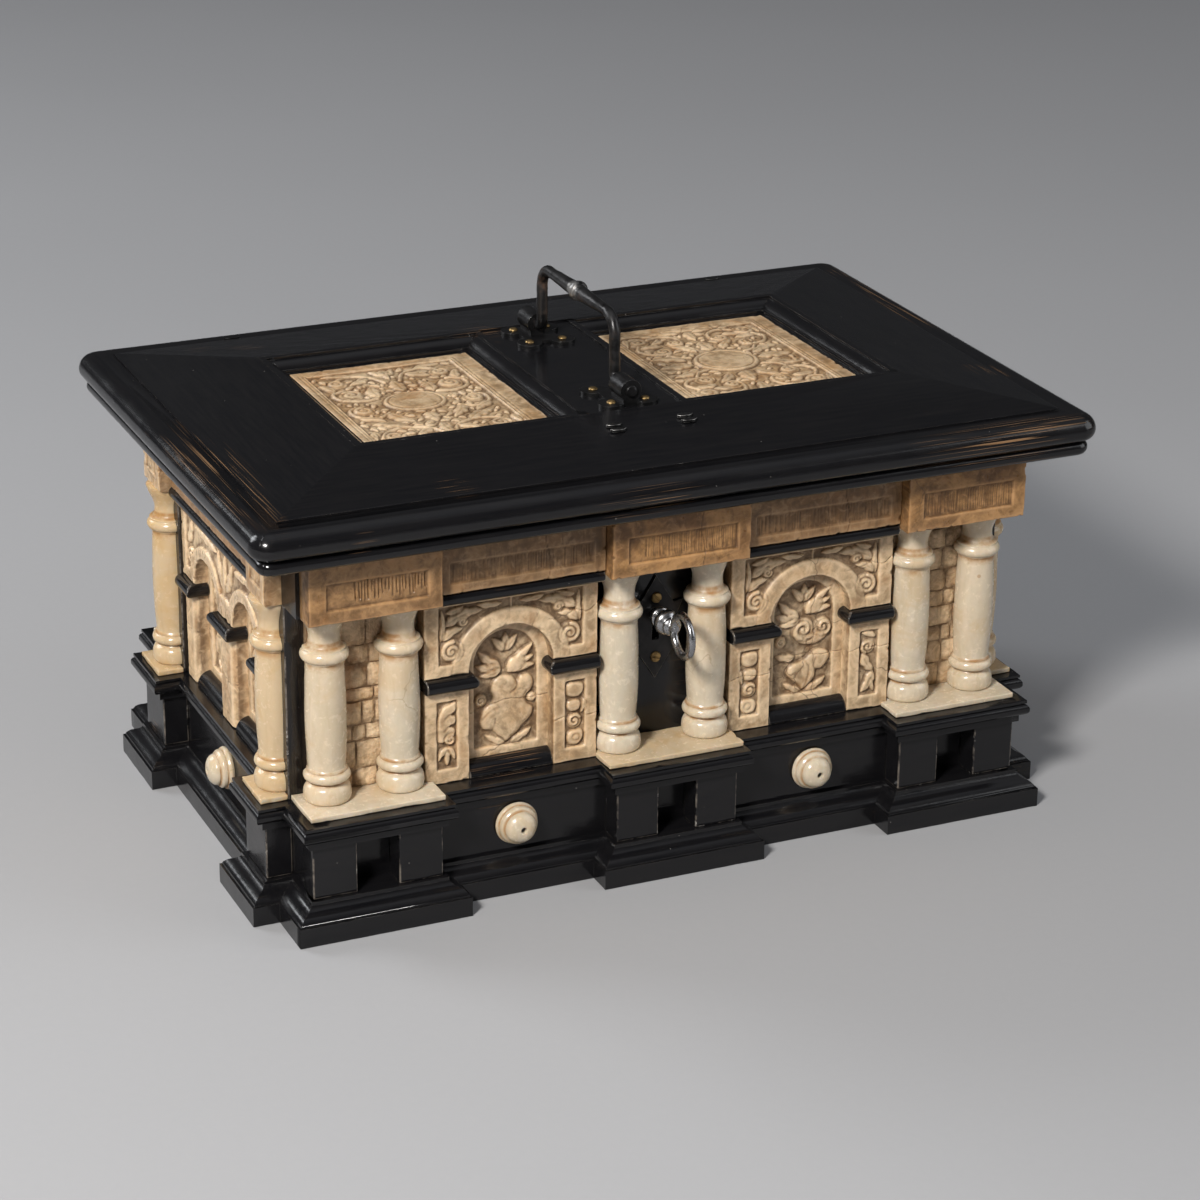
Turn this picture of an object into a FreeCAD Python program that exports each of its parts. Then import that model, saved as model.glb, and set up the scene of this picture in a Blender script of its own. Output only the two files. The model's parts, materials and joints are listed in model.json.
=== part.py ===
"""Jewelry casket: an ebonised wooden box dressed with alabaster columns, arches and panels.

Frame: +Z up, +X to the right along the front, the front looks along -Y.
The origin is the middle of the footprint, on the surface that the casket stands on.
"""
import FreeCAD
import Part
import Sketcher
import math
import operator
import os
from types import SimpleNamespace

doc = FreeCAD.newDocument("casket")
sheet = doc.addObject("Spreadsheet::Sheet", "Sizes")

# Driving dimensions in millimetres
SIZES = {
    # carcass boards
    "half_length": 147.0,
    "half_depth": 80.0,
    "end_board": 9.0,
    "long_board": 11.0,
    "board_foot": 3.0,
    "bottom_low": 5.0,
    "bottom_board": 8.0,
    "corner_post": 24.0,
    # plinth courses
    "base_fascia": 8.3,
    "base_height": 15.5,
    "dado_height": 22.5,
    "cornice_height": 10.0,
    "base_projection": 9.0,
    "cornice_projection": 5.4,
    "front_dado": 13.5,
    "end_dado": 10.0,
    "front_pedestal": 11.5,
    "end_pedestal": 11.0,
    "pedestal_margin": 1.783,
    "centre_pedestal_inset": 2.317,
    "pier_block": 18.5,
    "end_pedestal_half": 12.5,
    # columns and their slabs
    "slab": 2.3,
    "slab_setback": 1.0,
    "slab_lap": 1.8,
    "centre_slab_lap": 0.983,
    "end_slab_half": 12.0,
    "end_slab_reach": 11.5,
    "column_height": 80.6,
    "column_reach": 8.0,
    "outer_column": 12.5,
    "column_spacing": 30.6,
    "centre_column": 19.6,
    "end_column": 12.0,
    "torus_height": 9.5,
    "torus_foot": 7.6,
    "torus_bend": 6.6,
    "ring_height": 5.4,
    "ring_foot": 7.5,
    "ring_bend": 3.1,
    "shaft_foot": 7.8,
    "shaft_top": 7.5,
    "shaft_bend": 460.0,
    "collar_height": 5.0,
    "collar_foot": 7.7,
    "neck_radius": 6.3,
    "neck_height": 3.2,
    "bell_height": 5.0,
    "bell_radius": 9.4,
    "bell_rim": 1.2,
    "turning_step": 0.5,
    # entablature
    "block_height": 27.8,
    "block_front": 25.2,
    "entablature_board": 15.0,
    "block_lap": 0.9,
    "corner_block_inset": 0.8,
    "centre_block_lap": 1.083,
    "end_block_reach": 7.4,
    "end_block_half": 10.5,
    "frieze": 4.4,
    "end_frieze": 2.5,
    "strip_height": 5.5,
    "strip_drop": 3.4,
    "strip_reach": 4.0,
    "end_strip_reach": 3.4,
    # arched bays
    "niche_panel": 3.5,
    "arch_plate": 6.3,
    "arch_half": 18.1,
    "pier_height": 40.0,
    "impost_height": 6.0,
    "impost_reach": 4.0,
    "impost_return": 3.0,
    "end_arch_half": 16.0,
    "end_pier_half": 9.5,
    "end_arch_plate": 6.2,
    "brick_panel": 4.5,
    "brick_past_column": 5.5,
    "column_gap": 0.3,
    # turned bosses on the dado
    "boss_radius": 9.2,
    "boss_height": 9.6,
    "boss_lift": 12.0,
    "boss_pin_radius": 1.2,
    "boss_pin_depth": 6.0,
    # lid
    "lid_gap": 0.3,
    "lid_side_overhang": 19.0,
    "lid_front_overhang": 25.0,
    "lid_board": 13.0,
    "edge_bead": 12.5,
    "edge_reach": 16.0,
    "bead_height": 5.6,
    "edge_upper_bend": 6.5,
    "edge_lower_bend": 4.5,
    "quirk": 2.3,
    "slope_run": 48.5,
    "slope_lip": 1.1,
    "slope_rise": 12.0,
    "frame_width": 10.0,
    "frame_fillet": 2.6,
    "lid_panel": 6.3,
    "band_half": 20.5,
    "band_height": 11.2,
    # handle
    "plate_thickness": 1.4,
    "plate_half_width": 7.5,
    "plate_half_length": 9.0,
    "plate_lobe": 5.4,
    "plate_from_ridge": 16.6,
    "eye_radius": 4.6,
    "eye_length": 12.0,
    "eye_lift": 4.8,
    "leg_from_ridge": 21.3,
    "bail_radius": 2.4,
    "bail_rise": 26.6,
    "bail_elbow": 4.0,
    "bail_bend": 8.5,
    "grip_end": 5.0,
    "grip_radius": 3.1,
    "grip_ring": 3.8,
    "grip_ring_half": 2.2,
    "grip_swell": 4.0,
    "pin_end": 1.0,
    "nail_head": 1.9,
    "nail_shank": 0.95,
    "nail_depth": 5.0,
    "running_gap": 0.05,
    # wire hinges
    "hinge_wire": 1.25,
    "hinge_past_column": 1.1,
    "hinge_half": 4.0,
    "hinge_behind": 0.6,
    "hinge_drop": 0.2,
    "hinge_eye_wall": 2.1,
    "hinge_eye_width": 3.5,
    "hinge_leg": 25.0,
    "cotter_radius": 1.5,
    "clinch_length": 7.0,
    "clinch_width": 3.2,
    "clinch_thickness": 1.2,
    # lock
    "lock_skin": 1.8,
    "lock_side_room": 1.1,
    "lock_foot_room": 0.3,
    "lock_sheet": 0.8,
    "key_rise": 6.0,
    "key_radius": 3.0,
    "key_tip": 9.4,
    "key_collar": 4.2,
    "key_collar_start": 3.0,
    "key_collar_length": 14.0,
    "key_bow": 8.5,
    "key_bow_wire": 1.6,
    "bit_reach": 11.0,
    "bit_half": 1.2,
    "bit_start": 4.0,
    "bit_width": 3.6,
    "drill_pin": 1.4,
    "drill_length": 5.2,
    "bolt_start": 5.0,
    "bolt_thickness": 1.6,
    "bolt_throw": 8.4,
    "bolt_arm": 4.0,
    "bolt_bar": 3.4,
    "bolt_tooth": 2.8,
    "tooth_width": 2.2,
    "left_tooth_room": 1.0,
    "right_tooth_room": 3.2,
    "finger_lift": 1.0,
    "bolt_rail_half": 4.5,
    "bolt_rail_end": 5.0,
    "bolt_stud": 1.5,
    "slot_room": 0.2,
    "bolt_stud_drop": 24.0,
    "bit_room": 0.5,
    "hasp_room": 0.3,
    "hasp_from_middle": 15.5,
    "hasp_wire": 0.9,
    "hasp_half": 2.1,
    "hasp_drop": 12.0,
    "lock_plate": 1.2,
    "lock_plate_half_height": 22.5,
    "lock_plate_half_width": 13.4,
    "lock_plate_waist": 8.0,
    "lock_plate_drop": 33.9,
    "screw_spread": 13.0,
    "screw_head": 2.3,
    "screw_head_height": 1.1,
    "screw_shank": 1.2,
}

OPERATIONS = {
    "+": operator.add,
    "-": operator.sub,
    "*": operator.mul,
    "/": operator.truediv,
}


class Size:
    """A number together with the sheet formula that gives it."""

    def __init__(self, value, formula=None):
        self.value = float(value)
        self.formula = formula or f"({self.value})"

    def __neg__(self):
        return 0.0 - self

    def __add__(self, other):
        return joined(self, "+", other)

    def __radd__(self, other):
        return joined(other, "+", self)

    def __sub__(self, other):
        return joined(self, "-", other)

    def __rsub__(self, other):
        return joined(other, "-", self)

    def __mul__(self, other):
        return joined(self, "*", other)

    def __rmul__(self, other):
        return joined(other, "*", self)

    def __truediv__(self, other):
        return joined(self, "/", other)

    def root(self):
        return Size(math.sqrt(self.value), f"sqrt({self.formula})")


def as_size(number):
    """A plain number or a Size, as a Size."""
    return number if isinstance(number, Size) else Size(number)


def joined(left, sign, right):
    """Two sizes added, taken away, multiplied or divided, with their formula."""
    left, right = as_size(left), as_size(right)
    value = OPERATIONS[sign](left.value, right.value)
    return Size(value, f"({left.formula} {sign} {right.formula})")


def fill_sheet():
    """Write the driving dimensions into the sheet and return them as named sizes."""
    named = {}
    for row, (alias, number) in enumerate(SIZES.items(), start=1):
        sheet.set(f"A{row}", alias)
        sheet.set(f"B{row}", str(number))
        sheet.setAlias(f"B{row}", alias)
    doc.recompute()
    for alias in SIZES:
        named[alias] = Size(sheet.get(alias), f"Sizes.{alias}")
    return SimpleNamespace(**named)


size = fill_sheet()

# Heights that several pieces share
die_top = size.base_height + size.dado_height
plinth_top = die_top + size.cornice_height
slab_top = plinth_top + size.slab
block_low = slab_top + size.column_height
carcass_top = block_low + size.block_height
lid_low = carcass_top + size.lid_gap
board_top = lid_low + size.lid_board
pier_top = plinth_top + size.pier_height
spring = pier_top + size.impost_height
nose_low = lid_low + size.bead_height + 0.5
edge_top = nose_low + size.edge_lower_bend + size.edge_upper_bend
ridge_top = board_top + size.slope_rise

# Faces that several pieces share
dado_y = size.half_depth + size.front_dado
dado_x = size.half_length + size.end_dado
pedestal_y = dado_y + size.front_pedestal
pedestal_x = dado_x + size.end_pedestal
post_x = size.half_length + size.end_pedestal
board_y = size.half_depth + size.entablature_board
block_y = size.half_depth + size.block_front
niche_y = size.half_depth + size.niche_panel
arch_y = niche_y + size.arch_plate
niche_x = size.half_length + size.niche_panel
end_arch_x = niche_x + size.end_arch_plate
end_middle = size.half_depth - size.end_column
torus_half = size.torus_height / 2
torus_set_in = (size.torus_bend * size.torus_bend - torus_half * torus_half).root()
torus_radius = size.torus_foot + size.torus_bend - torus_set_in
outer_column_x = dado_x - size.outer_column
inner_column_x = outer_column_x - size.column_spacing
corner_inner = inner_column_x - torus_radius - size.pedestal_margin
centre_half = size.centre_column + torus_radius
centre_pedestal = centre_half - size.centre_pedestal_inset
bay_outer = inner_column_x - torus_radius - size.column_gap
bay_inner = centre_half + size.column_gap
bay_middle = (bay_outer + bay_inner) / 2
boss_level = size.base_height + size.boss_lift
centre_block = centre_half + size.centre_block_lap
lid_x = size.half_length + size.lid_side_overhang
lid_y = size.half_depth + size.lid_front_overhang
ridge_x = lid_x + size.quirk - size.slope_run
ridge_y = lid_y + size.quirk - size.slope_run

# Hinge and lock places
hinge_radius = size.hinge_wire + size.running_gap + size.hinge_eye_wall
hinge_x = inner_column_x + size.hinge_past_column
hinge_y = block_y + size.hinge_behind + hinge_radius
hinge_z = lid_low - size.hinge_drop - hinge_radius
plate_level = block_low - size.lock_plate_drop
key_level = plate_level + size.key_rise
bolt_clear = size.hasp_wire + size.hasp_room
bolt_reach = size.hasp_from_middle + bolt_clear + size.bolt_throw + size.bolt_arm
lock_half = bolt_reach + size.lock_side_room + size.lock_sheet
bar_top = key_level - size.bit_reach - size.bit_room
bar_low = bar_top - size.bolt_bar
lock_low = bar_low - size.lock_foot_room - size.lock_sheet
stud_z = carcass_top - size.bolt_stud_drop
stud_x = size.hasp_from_middle
hasp_y = size.bolt_start + size.bolt_thickness / 2 - size.half_depth


# Drawing helpers

def bind(item, name, amount):
    """Tie one property of an object to the sheet."""
    item.setExpression(name, as_size(amount).formula)


def put(item, place, turn=None):
    """Set an object's rotation and tie its position to the sheet."""
    if turn:
        item.Placement = FreeCAD.Placement(FreeCAD.Vector(), turn)
    for axis, amount in zip("xyz", place):
        bind(item, f"Placement.Base.{axis}", amount)


def box(label, x, y, z):
    """A block between two ends along each axis."""
    item = doc.addObject("Part::Box", label)
    put(item, (x[0], y[0], z[0]))
    for name, (low, high) in zip(("Length", "Width", "Height"), (x, y, z)):
        bind(item, name, as_size(high) - low)
    return item


to_front = FreeCAD.Rotation(FreeCAD.Vector(1, 0, 0), 90)
TURNS = {
    "x": FreeCAD.Rotation(FreeCAD.Vector(0, 1, 0), 90),
    "y": FreeCAD.Rotation(FreeCAD.Vector(1, 0, 0), -90),
    "z": FreeCAD.Rotation(),
}


def rod(label, axis, start, length, radius):
    """A cylinder from a start point along an axis."""
    item = doc.addObject("Part::Cylinder", label)
    put(item, start, TURNS[axis])
    bind(item, "Height", length)
    bind(item, "Radius", radius)
    return item


def fuse(label, pieces):
    """Several objects joined into one solid."""
    item = doc.addObject("Part::MultiFuse", label)
    item.Shapes = pieces
    item.Refine = True
    return item


def cut(label, base, tools):
    """An object with others taken out of it."""
    tool = tools[0] if len(tools) == 1 else group(label + "_tools", tools)
    item = doc.addObject("Part::Cut", label)
    item.Base = base
    item.Tool = tool
    return item


def common(label, first, second):
    """What two objects share."""
    item = doc.addObject("Part::Common", label)
    item.Base = first
    item.Tool = second
    return item


def group(label, pieces):
    """Separate solids kept together as one object."""
    item = doc.addObject("Part::Compound", label)
    item.Links = pieces
    return item


def turned_round(label, source):
    """A copy on the opposite side of the casket, half a turn about the upright axis."""
    item = group(label, [source])
    item.Placement = FreeCAD.Placement(FreeCAD.Vector(), FreeCAD.Rotation(FreeCAD.Vector(0, 0, 1), 180))
    return item


def mirrored(label, source, normal):
    """A mirror image through the middle of the casket."""
    item = doc.addObject("Part::Mirroring", label)
    item.Source = source
    item.Normal = FreeCAD.Vector(*normal)
    return item


def both_sides(label, source, normal=(1, 0, 0)):
    """An object and its mirror image as one group."""
    return group(label, [source, mirrored(label + "_mirror", source, normal)])


def edge_between(first, last, bend):
    """A straight edge, or an arc whose centre is left of the way for a positive bend."""
    start = FreeCAD.Vector(first[0], first[1], 0)
    end = FreeCAD.Vector(last[0], last[1], 0)
    if not bend:
        return Part.LineSegment(start, end)
    chord = end - start
    half = chord.Length / 2
    side = FreeCAD.Vector(-chord.y, chord.x, 0) / chord.Length * math.copysign(1, bend)
    rise = math.sqrt(max(bend * bend - half * half, 0))
    centre = (start + end) / 2 + side * rise
    return Part.Arc(start, centre - side * abs(bend), end)


def edges_of(corners):
    """The edges of a closed outline given as (u, v) or (u, v, bend) corners."""
    points = [tuple(as_size(number).value for number in corner) for corner in corners]
    edges = []
    for here, there in zip(points, points[1:] + points[:1]):
        bend = here[2] if len(here) > 2 else 0
        edges.append(edge_between(here, there, bend))
    return edges


def draw(sketch, corners):
    """Draw a closed outline with every corner and bend tied to the sheet."""
    for edge in edges_of(corners):
        sketch.addGeometry(edge)
    starts = []
    for index, corner in enumerate(corners):
        edge = sketch.Geometry[index]
        here = FreeCAD.Vector(as_size(corner[0]).value, as_size(corner[1]).value, 0)
        starts.append(1 if (edge.StartPoint - here).Length < (edge.EndPoint - here).Length else 2)
    for index, corner in enumerate(corners):
        here = starts[index]
        before = index - 1 if index else len(corners) - 1
        sketch.addConstraint(Sketcher.Constraint("Coincident", before, 3 - starts[before], index, here))
        for kind, axis, place in (("DistanceX", -2, corner[0]), ("DistanceY", -1, corner[1])):
            place = as_size(place)
            if place.value == 0:
                sketch.addConstraint(Sketcher.Constraint("PointOnObject", index, here, axis))
                continue
            tie = Sketcher.Constraint(kind, -1, 1, index, here, place.value)
            bind(sketch, f"Constraints[{sketch.addConstraint(tie)}]", place)
        if len(corner) > 2:
            bend = as_size(corner[2])
            tie = Sketcher.Constraint("Radius", index, abs(bend.value))
            bind(sketch, f"Constraints[{sketch.addConstraint(tie)}]", bend if bend.value > 0 else -bend)


def profile_in(body, plane, corners):
    """A sketch of a closed outline on one of a body's own planes."""
    sketch = body.newObject("Sketcher::SketchObject", body.Name + "_outline")
    support = next(item for item in body.Origin.OriginFeatures if item.Role == plane)
    sketch.AttachmentSupport = [(support, "")]
    sketch.MapMode = "FlatFace"
    draw(sketch, corners)
    return sketch


def turned(label, corners, place, turn=None):
    """A piece turned on a lathe from a (radius, height) outline."""
    body = doc.addObject("PartDesign::Body", label)
    sketch = profile_in(body, "XZ_Plane", corners)
    turning = body.newObject("PartDesign::Revolution", label + "_turning")
    turning.Profile = sketch
    turning.ReferenceAxis = (sketch, ["V_Axis"])
    turning.Angle = 360
    put(body, place, turn)
    return body


def sawn(label, plane, corners, thickness, place):
    """A plate of even thickness cut to an outline."""
    body = doc.addObject("PartDesign::Body", label)
    sketch = profile_in(body, plane, corners)
    pad = body.newObject("PartDesign::Pad", label + "_pad")
    pad.Profile = sketch
    bind(pad, "Length", thickness)
    put(body, place)
    return body


def shaped(label, shape):
    """A piece whose shape is worked out from the sheet's values."""
    item = doc.addObject("Part::Feature", label)
    item.Shape = shape
    return item


def mitred_runs(corners, profile):
    """Moulding strips along a square-cornered plan, mitred where they meet.

    corners run anticlockwise. profile holds (projection, height) corners with optional bends.
    """
    points = [FreeCAD.Vector(as_size(x).value, as_size(y).value, 0) for x, y in corners]
    reach = max(as_size(corner[0]).value for corner in profile) + 1
    heights = [as_size(corner[1]).value for corner in profile]
    low, high = min(heights) - 1, max(heights) + 1
    ways = [(there - here).normalize() for here, there in zip(points, points[1:] + points[:1])]
    outs = [FreeCAD.Vector(way.y, -way.x, 0) for way in ways]
    runs = []
    for index, start in enumerate(points):
        end = points[(index + 1) % len(points)]
        way, out = ways[index], outs[index]
        face = Part.Face(Part.Wire([edge.toShape() for edge in edges_of(profile)]))
        back = start - way * reach
        face.Placement = FreeCAD.Placement(
            back, FreeCAD.Rotation(out, FreeCAD.Vector(0, 0, 1), way, "XYZ"),
        )
        strip = face.extrude(way * ((end - start).Length + 2 * reach))
        start_out = start + (outs[index - 1] + out) * reach
        end_out = end + (out + outs[(index + 1) % len(points)]) * reach
        plan = [start, end, end_out, start_out, start]
        mitre = Part.Face(Part.makePolygon([FreeCAD.Vector(p.x, p.y, low) for p in plan]))
        runs.append(strip.common(mitre.extrude(FreeCAD.Vector(0, 0, high - low))).Solids[0])
    return runs


def bent_rod(points, bends, radius):
    """A round rod along straight runs joined by arcs of the given bend radii."""
    vectors = [FreeCAD.Vector(*[as_size(number).value for number in point]) for point in points]
    edges = []
    start = vectors[0]
    for before, corner, after, bend in zip(vectors, vectors[1:], vectors[2:], bends):
        into = (corner - before).normalize()
        away = (after - corner).normalize()
        half_turn = into.getAngle(away) / 2
        reach = as_size(bend).value * math.tan(half_turn)
        inward = (away - into).normalize()
        middle = corner + inward * (as_size(bend).value * (1 / math.cos(half_turn) - 1))
        edges.append(Part.LineSegment(start, corner - into * reach).toShape())
        edges.append(Part.Arc(corner - into * reach, middle, corner + away * reach).toShape())
        start = corner + away * reach
    edges.append(Part.LineSegment(start, vectors[-1]).toShape())
    first_way = (vectors[1] - vectors[0]).normalize()
    circle = Part.Circle(vectors[0], first_way, as_size(radius).value)
    section = Part.Wire([circle.toShape()])
    return Part.Wire(edges).makePipeShell([section], True, True)


# Carcass: four boards, a bottom and four corner posts

def carcass():
    """The plain boards that everything else is fixed to."""
    length = (-size.half_length, size.half_length)
    inner_x = size.half_length - size.end_board
    inner_y = size.half_depth - size.long_board
    height = (size.board_foot, carcass_top)
    front = box("front_blank", length, (-size.half_depth, -inner_y), height)
    pocket_y = -size.half_depth + size.lock_skin
    pocket = box(
        "lock_pocket", (-lock_half, lock_half), (pocket_y, -inner_y + 1),
        (lock_low, carcass_top + 1),
    )
    hole = keyhole(
        "wall_keyhole", size.key_radius + 0.4, size.bit_half + 0.5, (-size.half_depth - 1, pocket_y + 1),
    )
    screw_holes = [
        rod(
            "wall_screw_hole", "y", (0, -size.half_depth - 1, level), size.lock_skin + 3,
            size.screw_shank + size.running_gap,
        )
        for level in screw_levels()
    ]
    ends = [box("left_board", (-size.half_length, -inner_x), (-inner_y, inner_y), height)]
    ends.append(turned_round("right_board", ends[0]))
    post = box(
        "post", (-post_x, -size.half_length), (-size.half_depth, size.corner_post - size.half_depth),
        (plinth_top, block_low),
    )
    posts = both_sides("left_posts", post, (0, 1, 0))
    return [
        cut("front_board", front, [pocket, hole] + screw_holes),
        box("back_board", length, (inner_y, size.half_depth), height),
        *ends,
        box(
            "bottom_board", (-inner_x, inner_x), (-inner_y, inner_y),
            (size.bottom_low, size.bottom_low + size.bottom_board),
        ),
        group("corner_posts", [posts, turned_round("right_posts", posts)]),
    ]


def screw_levels():
    """Heights of the lock plate's screws."""
    return [plate_level - size.screw_spread, plate_level + size.screw_spread]


def keyhole(label, round_radius, slot_half, y):
    """The round and slot that the key passes through, as a solid to cut with."""
    upper = rod(label + "_round", "y", (0, y[0], key_level), as_size(y[1]) - y[0], round_radius)
    slot_low = bar_top
    slot = box(label + "_slot", (-slot_half, slot_half), y, (slot_low, key_level))
    return fuse(label, [upper, slot])


# Plinth: moulded base, dado, pedestals and cornice, broken forward under the columns

def plinth_plan():
    """The outline of dado and pedestals, anticlockwise from the front left corner, side by side."""
    centre = centre_pedestal
    front = [
        (-dado_x, -pedestal_y), (-corner_inner, -pedestal_y), (-corner_inner, -dado_y), (-centre, -dado_y),
        (-centre, -pedestal_y), (centre, -pedestal_y), (centre, -dado_y), (corner_inner, -dado_y),
        (corner_inner, -pedestal_y),
    ]
    far = end_middle + size.end_pedestal_half
    near = end_middle - size.end_pedestal_half
    right = [
        (dado_x, -pedestal_y), (dado_x, -far), (pedestal_x, -far), (pedestal_x, -near), (dado_x, -near),
        (dado_x, near), (pedestal_x, near), (pedestal_x, far), (dado_x, far),
    ]
    return front, right


def opposite(points):
    """Plan points after half a turn about the upright axis."""
    return [(-x, -y) for x, y in points]


def plinth_course(label, low, high, profile):
    """One moulded course all round: a solid for each side, mitred at the corners."""
    front, right = plinth_plan()
    runs = mitred_runs(front + right + opposite(front) + opposite(right), profile)
    wall_x, wall_y = size.half_length.value, size.half_depth.value
    base, top = as_size(low).value, as_size(high).value
    rise = FreeCAD.Vector(0, 0, top - base)
    sides = []
    for first, points, last, wall in (
        (0, front, right[0], [(wall_x, -wall_y), (-wall_x, -wall_y)]),
        (len(front), right, opposite(front)[0], [(wall_x, wall_y), (wall_x, -wall_y)]),
    ):
        plan = [(as_size(x).value, as_size(y).value) for x, y in points + [last]] + wall
        plan.append(plan[0])
        core = Part.Face(Part.makePolygon([FreeCAD.Vector(x, y, base) for x, y in plan])).extrude(rise)
        side = core.multiFuse(runs[first:first + len(points)]).removeSplitter()
        behind = side.copy()
        behind.rotate(FreeCAD.Vector(), FreeCAD.Vector(0, 0, 1), 180)
        sides += [side.Solids[0], behind.Solids[0]]
    return shaped(label, Part.makeCompound(sides))


def plinth():
    """Base moulding, dado boards, pedestal blocks and cornice."""
    top_projection = size.base_projection / 5
    bead = 1.4
    base_profile = [
        (0, 0), (size.base_projection, 0), (
            size.base_projection, size.base_fascia,
        ), (size.base_projection - 0.9, size.base_fascia),
        (
            size.base_projection - 0.9, size.base_fascia + 0.6, 6.0,
        ), (top_projection + 2.6, size.base_height - bead - 2.2, -5.0),
        (
            top_projection, size.base_height - bead,
        ), (top_projection, size.base_height), (0, size.base_height),
    ]
    roll_low = die_top + 3.4
    roll_high = plinth_top - 1.6
    roll_foot = size.cornice_projection - 2.2
    cornice_profile = [
        (0, die_top), (
            size.cornice_projection / 3, die_top,
        ), (size.cornice_projection / 3, roll_low - 0.5),
        (roll_foot, roll_low, 2.6), (roll_foot, roll_high), (roll_foot + 0.8, roll_high + 0.4),
        (roll_foot + 0.8, plinth_top), (0, plinth_top),
    ]
    height = (size.base_height, die_top)
    hole_radius = size.boss_pin_radius + size.running_gap
    pin_holes = [
        rod(
            "front_pin_hole", "y", (side * bay_middle, -dado_y - 1, boss_level),
            size.boss_pin_depth + 1.5, hole_radius,
        )
        for side in (-1, 1)
    ]
    left_hole = rod(
        "left_pin_hole", "x", (-dado_x - 1, 0, boss_level), size.boss_pin_depth + 1.5, hole_radius,
    )
    front_blank = box("front_dado_blank", (-dado_x, dado_x), (-dado_y, -size.half_depth), height)
    left_blank = box(
        "left_dado_blank", (-dado_x, -size.half_length), (-size.half_depth, size.half_depth), height,
    )
    front_dado = cut("front_dado_board", front_blank, pin_holes)
    left_dado = cut("left_dado_board", left_blank, [left_hole])
    return [
        plinth_course("base_moulding", 0, size.base_height, base_profile),
        plinth_course("plinth_cornice", die_top, plinth_top, cornice_profile),
        group("dado_boards", [
            front_dado, turned_round("back_dado_board", front_dado), left_dado,
            turned_round("right_dado_board", left_dado),
        ]),
        pedestal_blocks(height),
    ]


def pedestal_blocks(height):
    """Two pier blocks in each front pedestal and one in each end pedestal."""
    front_y = (-pedestal_y, -dado_y)
    outer = box("outer_pier_block", (dado_x - size.pier_block, dado_x), front_y, height)
    inner = box("inner_pier_block", (corner_inner, corner_inner + size.pier_block), front_y, height)
    centre = box(
        "centre_pier_block", (centre_pedestal - size.pier_block, centre_pedestal), front_y,
        height,
    )
    front = group("front_pier_blocks", [
        both_sides(item.Name + "_pair", item) for item in (outer, inner, centre)
    ])
    reach = (-end_middle - size.end_pedestal_half, size.end_pedestal_half - end_middle)
    end = box("end_pier_block", (-pedestal_x, -dado_x), reach, height)
    ends = both_sides("left_pier_blocks", end, (0, 1, 0))
    return group("pedestal_blocks", [
        front, turned_round("back_pier_blocks", front), ends, turned_round("right_pier_blocks", ends),
    ])


# Columns on their slabs

def column_slabs():
    """Thin alabaster slabs under the columns, notched round the arched bays."""
    front = -pedestal_y + size.slab_setback
    centre_slab = centre_half + size.centre_slab_lap
    height = (plinth_top, slab_top)
    corner = fuse("corner_slab_piece", [
        box(
            "corner_slab_front", (
                corner_inner - size.slab_lap, dado_x,
            ), (front, -arch_y - size.column_gap),
            height,
        ),
        box("corner_slab_back", (bay_outer + size.column_gap, dado_x), (front, -size.half_depth), height),
    ])
    centre = fuse("centre_slab_piece", [
        box(
            "centre_slab_front", (-centre_slab, centre_slab),
            (front, -arch_y - size.column_gap), height,
        ),
        box(
            "centre_slab_back", (size.column_gap - bay_inner, bay_inner - size.column_gap),
            (front, -size.half_depth), height,
        ),
    ])
    row = group("front_slabs", [both_sides("corner_slabs", corner), centre])
    reach = (-end_middle - size.end_slab_half, size.end_slab_half - end_middle)
    end = box("end_slab", (-post_x - size.end_slab_reach, -post_x), reach, height)
    ends = both_sides("left_slabs", end, (0, 1, 0))
    return group("column_slabs", [
        row, turned_round("back_slabs", row), ends, turned_round("right_slabs", ends),
    ])


def column_outline():
    """Half the section of a turned column, from its foot to the block above."""
    step = size.turning_step
    ring_low = size.torus_height + step
    shaft_low = ring_low + size.ring_height + step
    bell_low = size.column_height - size.bell_height
    neck_low = bell_low - size.neck_height
    collar_low = neck_low - size.collar_height - step
    return [
        (0, 0), (
            size.torus_foot, 0, size.torus_bend,
        ), (size.torus_foot, size.torus_height), (size.ring_foot, ring_low, size.ring_bend),
        (size.ring_foot, ring_low + size.ring_height), (size.shaft_foot, shaft_low, size.shaft_bend),
        (size.shaft_top, collar_low - step), (size.collar_foot, collar_low, size.ring_bend),
        (
            size.collar_foot, collar_low + size.collar_height,
        ), (size.neck_radius, neck_low), (size.neck_radius, bell_low, size.bell_height),
        (
            size.bell_radius, size.column_height - size.bell_rim,
        ), (size.bell_radius, size.column_height), (0, size.column_height),
    ]


def flat_backed_column(label, x, y, back):
    """A turned column with a flat sawn on it where it stands against the wall."""
    body = turned(label + "_turned", column_outline(), (x, y, slab_top))
    return cut(label, body, [back])


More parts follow.
